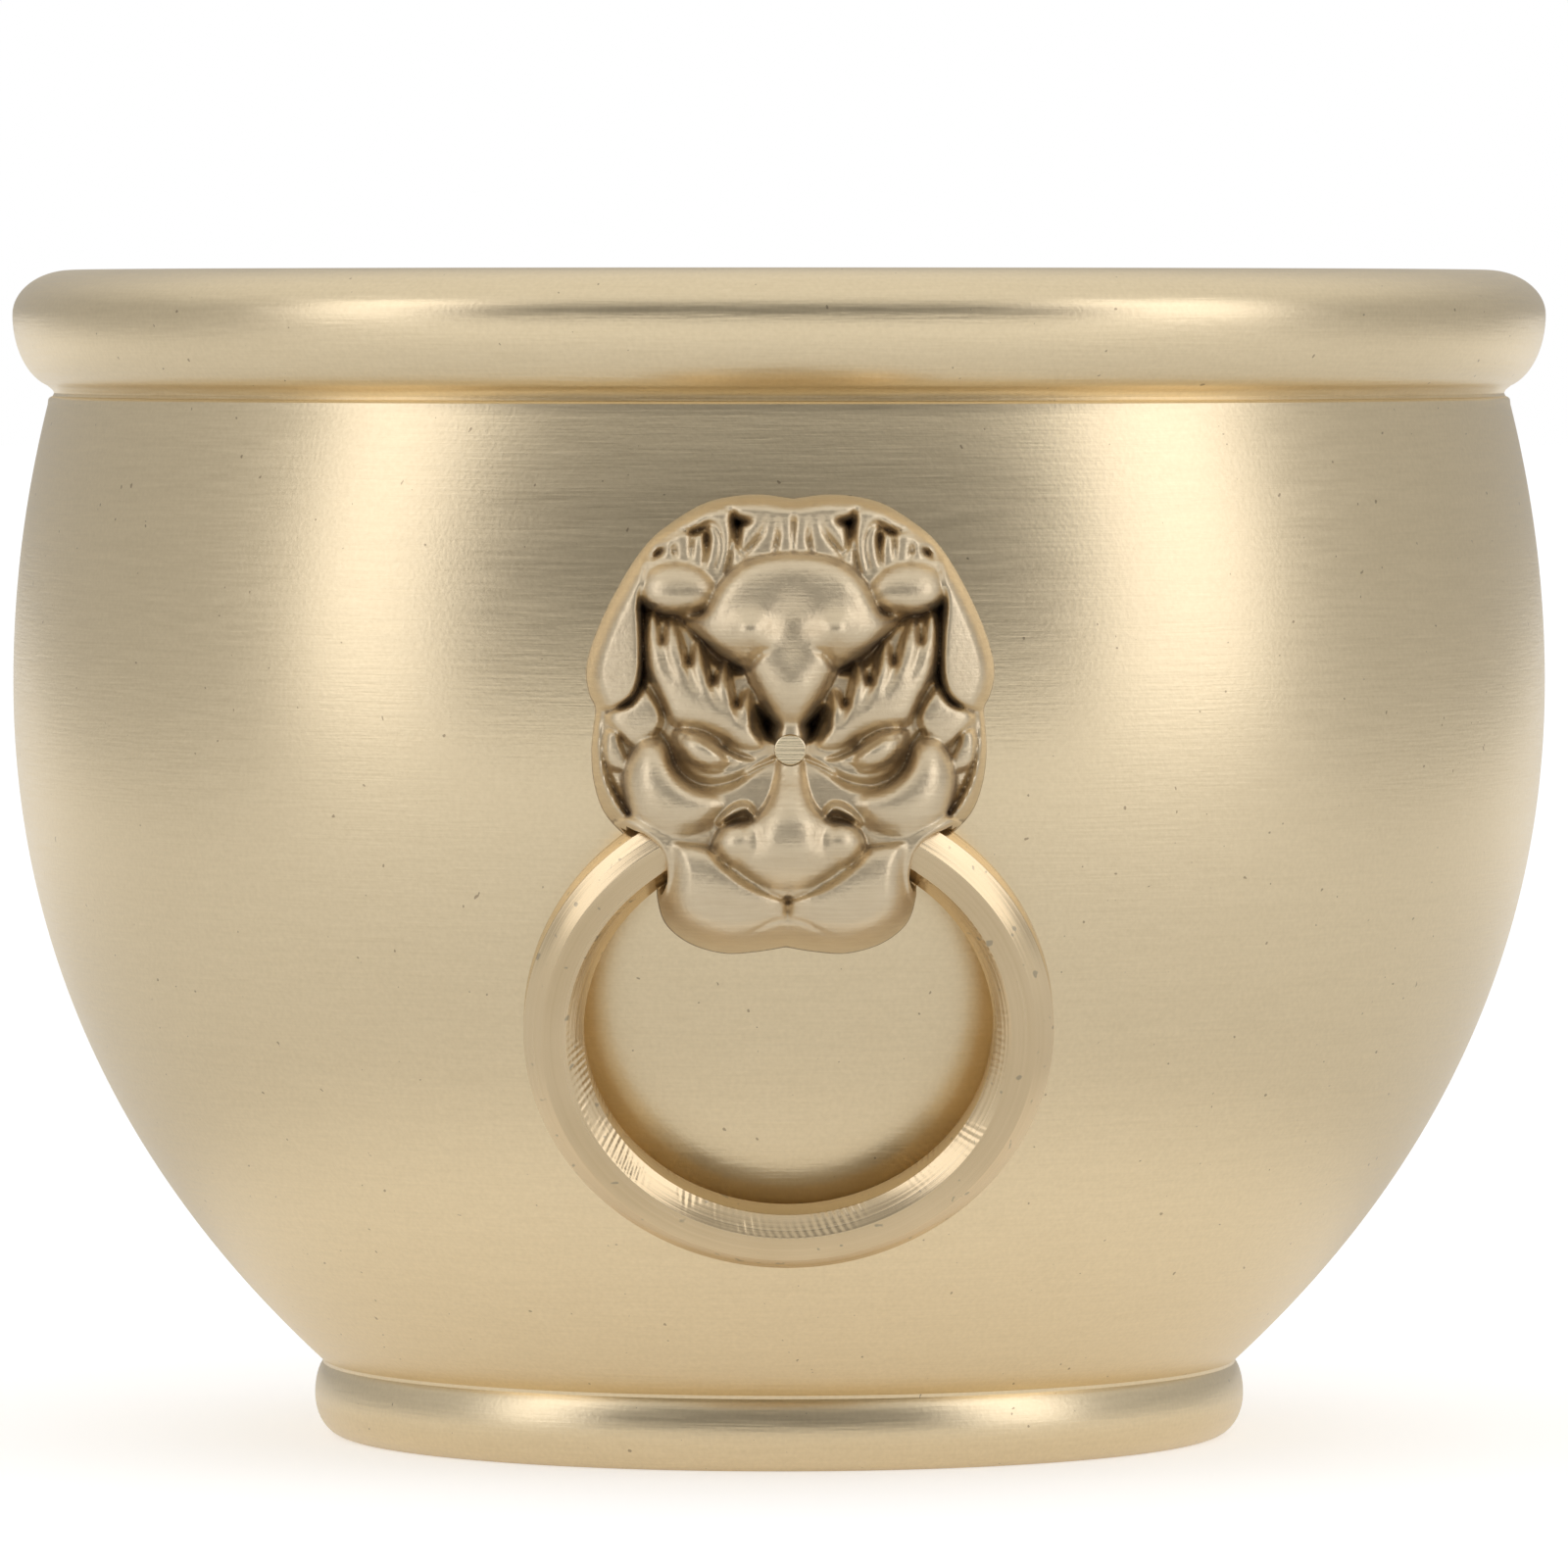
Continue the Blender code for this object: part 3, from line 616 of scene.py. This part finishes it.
def pot_outline():
    """The whole section, from the middle of the floor, up the inside, over and down the outside."""
    steps = 44 if FINE else 14
    belly = belly_outline(steps)[1:]
    inside = [(radius - WALL, height) for radius, height in reversed(belly)
              if radius - WALL > FLOOR_RADIUS + FLOOR_SWEEP]
    floor = [(0.0, FLOOR_HEIGHT), (FLOOR_RADIUS * 0.5, FLOOR_HEIGHT)]
    floor += bezier((FLOOR_RADIUS, FLOOR_HEIGHT), (FLOOR_RADIUS + 0.004, FLOOR_HEIGHT),
                    (inside[0][0] - 0.002, inside[0][1] - 0.0019), inside[0], 10)
    mouth = arc((MOUTH_RADIUS + MOUTH_ROUNDING, RIM_HEIGHT - MOUTH_ROUNDING),
                (MOUTH_ROUNDING, MOUTH_ROUNDING), 180, 90, 6)
    bead = arc((RIM_TOP_RADIUS, RIM_WIDEST_HEIGHT),
               (RIM_RADIUS - RIM_TOP_RADIUS, RIM_HEIGHT - RIM_WIDEST_HEIGHT), 88, 0, 16)
    bead += arc((GROOVE_RADIUS - BEAD_TUCK, RIM_WIDEST_HEIGHT),
                (RIM_RADIUS - GROOVE_RADIUS + BEAD_TUCK, RIM_WIDEST_HEIGHT - GROOVE_HEIGHT - 0.0002),
                0, -74, 18)[1:]
    groove = [(GROOVE_RADIUS + out, GROOVE_HEIGHT + up) for out, up in (
        (-0.0001, 0.0001), (-0.0002, -0.0001), (-0.0001, -0.0003), (0.00008, -0.00038), (0.00018, -0.0005))]
    outside = [point for point in belly if point[1] < GROOVE_HEIGHT - 0.0007]
    foot = arc((NECK_RADIUS - FOOT_TUCK, FOOT_WIDEST_HEIGHT),
               (FOOT_RADIUS - NECK_RADIUS + FOOT_TUCK, NECK_HEIGHT - FOOT_WIDEST_HEIGHT), 65, 0, 8)
    foot += arc((FOOT_BASE_RADIUS, FOOT_WIDEST_HEIGHT),
                (FOOT_RADIUS - FOOT_BASE_RADIUS, FOOT_WIDEST_HEIGHT), 0, -90, 10)[1:]
    recess = arc((FOOT_INNER_RADIUS + BASE_EDGE, BASE_EDGE), (BASE_EDGE, BASE_EDGE), -90, -180, 3)
    recess += [(FOOT_INNER_RADIUS - RECESS_TAPER, FOOT_RECESS), (0.0, FOOT_RECESS)]
    return floor + inside[1:] + mouth + bead + groove + outside + foot + recess


def ring_section(bar, edge):
    """An octagon with softened corners, its outer flat run downwards."""
    corner = bar / 2 / math.cos(math.pi / 8)
    points = []
    for i in range(8):
        middle = 22.5 - 45 * i
        if edge:
            reach = corner - edge / math.cos(math.pi / 8)
            centre = (RING_RADIUS + reach * math.cos(math.radians(middle)),
                      reach * math.sin(math.radians(middle)))
            points += arc(centre, (edge, edge), middle + 22.5, middle - 22.5, 3)
        else:
            points.append((RING_RADIUS + corner * math.cos(math.radians(middle)),
                           corner * math.sin(math.radians(middle))))
    return points


def ring_place(side, swing=0.0):
    """Where a ring stands, swung out from its rest: side -1 is the front, 1 the back."""
    across, up, axis = ring_axes()
    stand = Matrix((across, up, axis)).transposed().to_4x4()
    stand.translation = RING_CENTRE
    turn = (Matrix.Translation(HINGE) @ Matrix.Rotation(-swing, 4, "X") @ Matrix.Translation(-HINGE))
    half_turn = Matrix.Rotation(math.pi if side > 0 else 0.0, 4, "Z")
    return half_turn @ turn @ stand


def ring_axes():
    lean_cos, lean_sin = math.cos(RING_LEAN), math.sin(RING_LEAN)
    return Vector((1, 0, 0)), Vector((0, -lean_sin, lean_cos)), Vector((0, -lean_cos, -lean_sin))


# ---- the mask's casting ----------------------------------------------------------------------

# lengths in mm
HOLE_GAP = 0.02  # round the rivet
BACK_RELIEF = -0.12  # the back is sunk this far into the belly
LIFT = 0.04  # what stands out further than LIFT_FROM is lifted in proportion, what is lower sinks
LIFT_FROM = 2.5
LIFT_FADE = 1.5  # and less so this close to the rivet
ROW_SPREAD = 0.92  # below 1, rows lie closer together towards the edge
ROOM_STEPS = 6  # the ring's room is cut at this many angles of its swing, and at rest


def mask_mesh(name, relief):
    """The casting as rows of points round the rivet hole, closed behind against the belly."""
    spokes, rows = (768, 117) if FINE else (320, 56)
    centre = np.array((0.0, RIVET_HEIGHT * 1000))
    edge = mask_edge() - centre
    edge[:, 0] += MIDDLE_SHIFT + MIDDLE_LEAN * (edge[:, 1] + centre[1] - MIDDLE_HEIGHT)
    bearing = np.arctan2(edge[:, 1], edge[:, 0])
    order = np.argsort(bearing)
    angle = -math.pi + 2 * math.pi * (np.arange(spokes) + 0.5) / spokes
    reach = np.interp(angle, bearing[order], np.hypot(*edge.T)[order], period=2 * math.pi)
    hole = RIVET_RADIUS * 1000 + HOLE_GAP
    layers = []
    for i in range(rows + 1):
        t = (i / rows) ** ROW_SPREAD
        layers.append((hole + (reach - hole) * t, None if i < rows else 0.0))
    layers.append((reach, BACK_RELIEF))
    layers.append((hole + (reach - hole) * 0.5, BACK_RELIEF))
    layers.append((np.full(spokes, hole), BACK_RELIEF))
    points = []
    for radius, height in layers:
        x = radius * np.cos(angle)
        z = centre[1] + radius * np.sin(angle)
        fade = np.clip((radius - hole) / LIFT_FADE, 0, 1)
        h = on_grid(relief, x, z) if height is None else np.full(spokes, height)
        out = wall_out(x * 0.001, z * 0.001) + h * 0.001
        points.append(np.stack([x * 0.001, -out, (z + LIFT * (h - LIFT_FROM) * fade) * 0.001], -1))
    points = np.concatenate(points)
    count = len(layers)
    ring = np.arange(spokes)
    after = (ring + 1) % spokes
    faces = []
    for i in range(count):
        j = (i + 1) % count
        faces.append(np.stack([i * spokes + ring, i * spokes + after,
                               j * spokes + after, j * spokes + ring], -1))
    faces = np.concatenate(faces)
    mesh = bpy.data.meshes.new(name)
    mesh.from_pydata(points.tolist(), [], faces.tolist())
    return mesh


def ring_room(name, swing):
    """The room a ring needs at one angle of its swing."""
    section = ring_section(RING_BAR + 2 * RING_CLEARANCE, 0)
    return turned(name, section, bed=RING_RADIUS, steps=150 if FINE else 60, finish=None, sharp=30,
                  closed=True, place=ring_place(-1, swing))


def make_mask(name, side, relief, hollows, finish):
    mask = add_piece(name, mask_mesh(name, relief))
    outward(mask.data)
    rooms = [ring_room(f"room_{i}", RING_SWING * i / ROOM_STEPS) for i in range(ROOM_STEPS + 1)]
    for i, room in enumerate(rooms):
        cut = mask.modifiers.new(f"room_{i}", "BOOLEAN")
        cut.operation = "DIFFERENCE"
        cut.solver = "MANIFOLD"
        cut.object = room
    mesh = plain_mesh(mask)
    for room in rooms:
        bpy.data.objects.remove(room)
    mesh.materials.clear()
    mesh.materials.append(finish)
    place = np.zeros(len(mesh.vertices) * 3)
    mesh.vertices.foreach_get("co", place)
    place = place.reshape(-1, 3) * 1000
    depth = np.clip(on_grid(hollows, place[:, 0], place[:, 2]), 0, 1).astype(np.float32)
    mesh.attributes.new("hollow", "FLOAT", "POINT").data.foreach_set("value", depth)
    if side > 0:
        mesh.transform(Matrix.Rotation(math.pi, 4, "Z"))
    mesh.shade_smooth()
    mesh.set_sharp_from_angle(angle=math.radians(50))
    return mask


def hollows_of(relief):
    """How deep each place lies below its surroundings, 0 to 1, where the casting keeps its dark skin."""
    near_by = softened(relief, 2.6) - relief
    around = softened(relief, 9) - relief
    return np.clip(1.5 * near_by + 0.2 * around, 0, 1.5) / 1.5


def rivet_outline():
    """From the middle of the ground face, down the shank to the domed head inside the bowl."""
    inner = float(wall_out(0, RIVET_HEIGHT)) - WALL
    face = RIVET_FACE_OUT
    points = [(0.0, face), (RIVET_RADIUS - 0.00006, face), (RIVET_RADIUS, face - 0.00005),
              (RIVET_RADIUS, inner), (RIVET_HEAD_RADIUS, inner)]
    points += arc((0, inner), (RIVET_HEAD_RADIUS, RIVET_HEAD_RISE), 0, -90, 8)[1:]
    return points


def rivet_place(side):
    axis = Vector((0, side, 0))
    turn = Vector((0, 0, 1)).rotation_difference(axis).to_matrix().to_4x4()
    return Matrix.Translation((0, 0, RIVET_HEIGHT)) @ turn


# ---- finishes --------------------------------------------------------------------------------

class Signal:
    """A number or a vector that varies over the surface, with the usual arithmetic."""

    def __init__(self, recipe, socket):
        self.recipe = recipe
        self.socket = socket

    def _with(self, operation, *values):
        return self.recipe.node("ShaderNodeMath", {"operation": operation}, *values)

    def __add__(self, other):
        return self._with("ADD", self, other)

    def __sub__(self, other):
        return self._with("SUBTRACT", self, other)

    def __rsub__(self, other):
        return self._with("SUBTRACT", other, self)

    def __mul__(self, other):
        return self._with("MULTIPLY", self, other)

    __radd__ = __add__
    __rmul__ = __mul__

    def root(self):
        return self._with("SQRT", self)

    def size(self):
        return self._with("ABSOLUTE", self)

    def at_most(self, other):
        return self._with("MINIMUM", self, other)

    def at_least(self, other):
        return self._with("MAXIMUM", self, other)

    def wave(self):
        return self._with("SINE", self)

    def angle_from(self, other):
        return self._with("ARCTAN2", self, other)

    def rise(self, low, high):
        """0 below low, 1 above high, smooth between. It falls instead if low is above high."""
        return self.recipe.node("ShaderNodeMapRange", {"interpolation_type": "SMOOTHSTEP"}, self, low, high)


class Recipe:
    """A finish: a Principled material and the nodes that feed it."""

    def __init__(self, name, base, metallic, roughness):
        self.material = bpy.data.materials.new(name)
        self.material.use_nodes = True
        self.tree = self.material.node_tree
        self.shader = self.tree.nodes["Principled BSDF"]
        self.shader.inputs["Base Color"].default_value = (*base, 1)
        self.shader.inputs["Metallic"].default_value = metallic
        self.shader.inputs["Roughness"].default_value = roughness
        self.material.diffuse_color = (*base, 1)

    def feed(self, socket, value):
        if isinstance(value, Signal):
            self.tree.links.new(value.socket, socket)
        else:
            socket.default_value = value

    def node(self, kind, settings, *values, output=0, **named):
        """A node with these settings; values go to its inputs in order, named ones by name."""
        node = self.tree.nodes.new(kind)
        for name, value in settings.items():
            setattr(node, name, value)
        for socket, value in zip(node.inputs, values):
            self.feed(socket, value)
        for name, value in named.items():
            self.feed(node.inputs[name], value)
        return Signal(self, node.outputs[output])

    def place(self):
        """x, y and z on the piece, in metres."""
        point = self.node("ShaderNodeTexCoord", {}, output="Object")
        return [self.node("ShaderNodeSeparateXYZ", {}, point, output=i) for i in range(3)]

    def vector(self, x, y, z):
        return self.node("ShaderNodeCombineXYZ", {}, x, y, z)

    def noise(self, vector, scale, detail=2.0, fourth=None, rough=0.5):
        settings = {"noise_dimensions": "3D" if fourth is None else "4D"}
        named = {"Vector": vector, "Scale": scale, "Detail": detail, "Roughness": rough}
        if fourth is not None:
            named["W"] = fourth
        return self.node("ShaderNodeTexNoise", settings, **named)

    def mix(self, amount, first, second):
        """From the first colour to the second."""
        node = self.tree.nodes.new("ShaderNodeMix")
        node.data_type = "RGBA"
        self.feed(node.inputs[0], amount)
        self.feed(node.inputs[6], first)
        self.feed(node.inputs[7], second)
        return Signal(self, node.outputs[2])

    def bump(self, height, depth):
        """Relief of this depth in metres."""
        return self.node("ShaderNodeBump", {}, Height=height, Distance=depth, Strength=1.0)

    def set(self, **inputs):
        for name, value in inputs.items():
            self.feed(self.shader.inputs[name.replace("_", " ")], value)
        return self.material


def colour(red, green, blue):
    return (red, green, blue, 1.0)


def brushed_pot():
    """Satin brass, brushed round the pot on the lathe, with a few specks and scuffs."""
    r = Recipe("pot_brass", (0.83, 0.70, 0.46), 1.0, 0.3)
    x, y, z = r.place()
    radius = (x * x + y * y).root()
    fine = r.noise(r.vector(x * 260, y * 260, radius * 6000), 1.0, 2.0, fourth=z * 6000)
    broad = r.noise(r.vector(x * 40, y * 40, radius * 1500), 1.0, 2.0, fourth=z * 1500)
    cloud = r.noise(r.vector(x, y, z), 45, 3.0)
    grain = r.noise(r.vector(x, y, z), 3600, 1.0)
    speck = r.noise(r.vector(x, y, z), 1900, 1.0)
    pits = speck.rise(0.775, 0.80)
    tone = (fine - 0.5) * 0.45 + (broad - 0.5) * 0.12 + (cloud - 0.5) * 0.10 + (grain - 0.5) * 0.5
    base = r.mix((tone + 0.5).at_least(0).at_most(1), colour(0.72, 0.585, 0.37), colour(0.92, 0.77, 0.52))
    base = r.mix(pits * 0.6, base, colour(0.24, 0.17, 0.11))
    height = fine * 0.8 + broad * 0.2 + grain * 0.5
    return r.set(Base_Color=base, Roughness=0.32 + (fine - 0.5) * 0.14 + (broad - 0.5) * 0.04,
                 Normal=r.bump(height, 0.000014))


def cast_mask():
    """Cast brass, rubbed bright on the high parts, rough and dark in the hollows."""
    r = Recipe("mask_brass", (0.80, 0.66, 0.45), 1.0, 0.34)
    x, y, z = r.place()
    hollow = r.node("ShaderNodeAttribute", {"attribute_name": "hollow"}, output="Fac")
    grain = r.noise(r.vector(x, y, z), 2600, 3.0, rough=0.6)
    soft = r.noise(r.vector(x, y, z), 420, 2.0)
    brush = r.noise(r.vector(x * 300, y * 300, z * 6000), 1.0, 2.0)
    worn = (hollow + (grain - 0.5) * 0.5 * hollow.rise(0.03, 0.15)).rise(0.10, 0.42)
    deep = hollow.rise(0.42, 0.8)
    base = r.mix((0.5 + (brush - 0.5) * 0.8 + (soft - 0.5) * 0.5).at_least(0).at_most(1),
                 colour(0.66, 0.53, 0.35), colour(0.84, 0.71, 0.50))
    base = r.mix(worn * 0.66, base, colour(0.25, 0.18, 0.12))
    base = r.mix(deep * 0.85, base, colour(0.10, 0.065, 0.04))
    rough = 0.42 + 0.12 * worn + (grain - 0.5) * 0.2
    height = (grain - 0.5) * (0.75 + 1.4 * hollow.rise(0.08, 0.35))
    height = height + (brush - 0.5) * 0.5 + (soft - 0.5) * 0.6
    return r.set(Base_Color=base, Roughness=rough, Normal=r.bump(height, 0.00005))


def turned_ring():
    """Brass as it left the lathe: fine tool lines, and some chatter on the inner side."""
    r = Recipe("ring_brass", (0.86, 0.71, 0.44), 1.0, 0.26)
    _, up, axis = ring_axes()
    x, y, z = r.place()
    out = 0 - y.size()
    v = (out - RING_CENTRE.y) * up.y + (z - RING_CENTRE.z) * up.z
    w = (out - RING_CENTRE.y) * axis.y + (z - RING_CENTRE.z) * axis.z
    radius = (x * x + v * v).root()
    turn = x.angle_from(v)
    fine = r.noise(r.vector(x * 40, v * 40, radius * 5200), 1.0, 2.0, fourth=w * 5200)
    lines = r.noise(r.vector(x * 12, v * 12, radius * 1700), 1.0, 1.0, fourth=w * 1700)
    inner = radius.rise(RING_RADIUS - 0.0006, RING_RADIUS - 0.0010)
    patch = r.noise(r.vector(x, y, z), 260, 2.0).rise(0.45, 0.62)
    chatter = (turn * 170 + radius * 5000).wave() * inner * patch
    cloud = r.noise(r.vector(x, y, z), 120, 2.0)
    speck = r.noise(r.vector(x, y, z), 1500, 1.0).rise(0.70, 0.75)
    base = r.mix((0.5 + (fine - 0.5) * 0.5 + (cloud - 0.5) * 0.6).at_least(0).at_most(1),
                 colour(0.60, 0.455, 0.26), colour(0.84, 0.68, 0.45))
    base = r.mix(speck * 0.6, base, colour(0.30, 0.27, 0.20))
    height = fine * 0.5 + lines * 0.6 + chatter * 0.5
    return r.set(Base_Color=base, Roughness=0.25 + (fine - 0.5) * 0.14, Normal=r.bump(height, 0.00003))


def ground_rivet():
    """Ground flush with the casting and brushed across."""
    r = Recipe("rivet_brass", (0.85, 0.72, 0.48), 1.0, 0.28)
    x, y, z = r.place()
    brush = r.noise(r.vector(x * 200, y * 200, z * 9000), 1.0, 2.0)
    base = r.mix((0.5 + (brush - 0.5) * 0.7).at_least(0).at_most(1), colour(0.76, 0.62, 0.40),
                 colour(0.92, 0.79, 0.55))
    return r.set(Base_Color=base, Roughness=0.26 + (brush - 0.5) * 0.14, Normal=r.bump(brush, 0.00001))


# ---- the pieces ------------------------------------------------------------------------------

POT_BRASS = brushed_pot()
MASK_BRASS = cast_mask()
RING_BRASS = turned_ring()
RIVET_BRASS = ground_rivet()

pot = turned("pot", pot_outline(), bed=0.03, steps=384 if FINE else 128, finish=POT_BRASS, sharp=25)
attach(pot, "pot")
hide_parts("pot_body")

LION = lion_relief()
HOLLOWS = hollows_of(LION)
for side, word in ((-1, "front"), (1, "back")):
    mask = make_mask(f"{word}_lion", side, LION, HOLLOWS, MASK_BRASS)
    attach(mask, "pot")
    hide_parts(f"{word}_mask")

    rivet = turned(f"{word}_rivet_shown", rivet_outline(), bed=0.004, steps=72, finish=RIVET_BRASS,
                   sharp=25, place=rivet_place(side))
    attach(rivet, "pot")
    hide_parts(f"{word}_rivet")

    ring = turned(f"{word}_loose_ring", ring_section(RING_BAR, RING_EDGE), bed=RING_RADIUS,
                  steps=240 if FINE else 90, finish=RING_BRASS, sharp=8, closed=True,
                  place=ring_place(side))
    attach(ring, f"{word}_ring_body")
    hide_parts(f"{word}_ring")


# ---- floor, lights and camera ----------------------------------------------------------------

CAMERA_LENS = 280.9
CAMERA_DISTANCE = 0.80
CAMERA_HEIGHT = 0.0731
CAMERA_TURN = math.radians(-0.7)
CAMERA_AIM = Vector((0.00032, 0, 0.0424))
LIGHT_AIM = Vector((0, 0, 0.045))
LIGHT_COLOUR = (1.0, 1.0, 1.06)
FLOOR_HALF = 6.0


def grey(value):
    return colour(value, value, value)


def seen_or_mirrored(tree, mirrored, seen):
    """One shader for what the camera sees directly, another for what the brass mirrors."""
    path = tree.nodes.new("ShaderNodeLightPath")
    either = tree.nodes.new("ShaderNodeMixShader")
    for source, socket in zip((path.outputs["Is Camera Ray"], mirrored, seen), either.inputs):
        tree.links.new(source, socket)
    return either.outputs[0]


def ramp(tree, source, low, high, at_low, at_high):
    """A smooth change of value while the source goes from low to high."""
    node = tree.nodes.new("ShaderNodeMapRange")
    node.interpolation_type = "SMOOTHSTEP"
    for i, value in enumerate((low, high, at_low, at_high), 1):
        node.inputs[i].default_value = value
    tree.links.new(source, node.inputs[0])
    return node.outputs[0]


def make_floor():
    """Pale paper, near white where it is looked at. Where the brass mirrors it, it is a little greyer, with
    light and shade painted in: a painted pool of light under the belly, painted shade round it that
    lightens further out, and painted shade to the sides.
    """
    paper = Recipe("floor_paper", (0.93, 0.93, 0.93), 0.0, 0.9)
    paper.set(Specular_IOR_Level=0.0, Emission_Color=colour(1, 1, 1), Emission_Strength=0.42)
    x, y, _ = paper.place()
    reach = (x * x + y * y).root()
    # painted light and shade, seen only in reflections: more glow under the belly, darker round it, lighter
    # far out, and painted shade to the sides with almost no glow
    painted_light_under_belly = reach.rise(0.075, 0.045)  # under the belly
    far = reach.rise(0.10, 0.40)
    painted_side_shade = (x.size() - 0.6 * y.size()).rise(0.06, 0.45)
    tone = paper.mix(far, grey(0.76), grey(0.92))
    glow = paper.mix(far, grey(0.12), grey(0.28))
    tone = paper.mix(painted_side_shade, tone, grey(0.64))
    glow = paper.mix(painted_side_shade, glow, grey(0.02))
    mirrored = paper.tree.nodes.new("ShaderNodeBsdfPrincipled")
    mirrored.inputs["Roughness"].default_value = 0.9
    mirrored.inputs["Specular IOR Level"].default_value = 0.0
    mirrored.inputs["Emission Strength"].default_value = 1.0
    paper.feed(mirrored.inputs["Base Color"], paper.mix(painted_light_under_belly, tone, grey(0.90)))
    paper.feed(mirrored.inputs["Emission Color"], paper.mix(painted_light_under_belly, glow, grey(0.27)))
    shown = seen_or_mirrored(paper.tree, mirrored.outputs[0], paper.shader.outputs[0])
    paper.tree.links.new(shown, paper.tree.nodes["Material Output"].inputs["Surface"])
    mesh = bpy.data.meshes.new("floor")
    shape = bmesh.new()
    bmesh.ops.create_grid(shape, x_segments=1, y_segments=1, size=FLOOR_HALF)
    shape.to_mesh(mesh)
    shape.free()
    mesh.materials.append(paper.material)
    add_piece("floor", mesh)


def make_surroundings():
    """Soft grey surroundings, lighter overhead and darker where the camera stands, on white."""
    world = bpy.data.worlds.new("surroundings")
    bpy.context.scene.world = world
    world.use_nodes = True
    tree = world.node_tree
    nodes, links = tree.nodes, tree.links
    nodes.clear()
    where = nodes.new("ShaderNodeTexCoord")
    split = nodes.new("ShaderNodeSeparateXYZ")
    links.new(where.outputs["Generated"], split.inputs[0])
    blend = nodes.new("ShaderNodeMix")
    links.new(ramp(tree, split.outputs[2], 0.25, 0.85, 0.0, 1.0), blend.inputs[0])
    links.new(ramp(tree, split.outputs[1], -0.1, -0.97, 0.46, 0.13), blend.inputs[2])
    blend.inputs[3].default_value = 0.85
    around = nodes.new("ShaderNodeBackground")
    links.new(blend.outputs[0], around.inputs["Color"])
    white = nodes.new("ShaderNodeBackground")
    white.inputs["Color"].default_value = (1, 1, 1, 1)
    output = nodes.new("ShaderNodeOutputWorld")
    shown = seen_or_mirrored(tree, around.outputs[0], white.outputs[0])
    links.new(shown, output.inputs["Surface"])


def soft_box(name, bearing, height, distance, width, tall, power):
    """A soft box aimed at the pot. Bearing 0 is in front, 90 to the right."""
    light = bpy.data.lights.new(name, "AREA")
    light.shape = "RECTANGLE"
    light.size = width
    light.size_y = tall
    light.energy = power
    light.color = LIGHT_COLOUR
    box = add_piece(name, light)
    turn = math.radians(bearing)
    box.location = (distance * math.sin(turn), -distance * math.cos(turn), height)
    aim = LIGHT_AIM - box.location
    box.rotation_euler = aim.to_track_quat("-Z", "Y").to_euler()


def make_camera():
    camera = bpy.data.cameras.new("camera")
    camera.sensor_width = 36.0
    camera.lens = CAMERA_LENS
    camera.clip_start = 0.05
    camera.clip_end = 50
    stand = add_piece("camera", camera)
    stand.location = (CAMERA_DISTANCE * math.sin(CAMERA_TURN), -CAMERA_DISTANCE * math.cos(CAMERA_TURN),
                      CAMERA_HEIGHT)
    aim = CAMERA_AIM - stand.location
    stand.rotation_euler = aim.to_track_quat("-Z", "Y").to_euler()
    bpy.context.scene.camera = stand


make_floor()
make_surroundings()
soft_box("left_box", bearing=-62, height=0.25, distance=0.9, width=0.38, tall=0.9, power=1.35)
soft_box("right_box", bearing=60, height=0.25, distance=0.9, width=0.48, tall=0.9, power=1.75)
make_camera()
bpy.context.scene.view_settings.view_transform = "Standard"
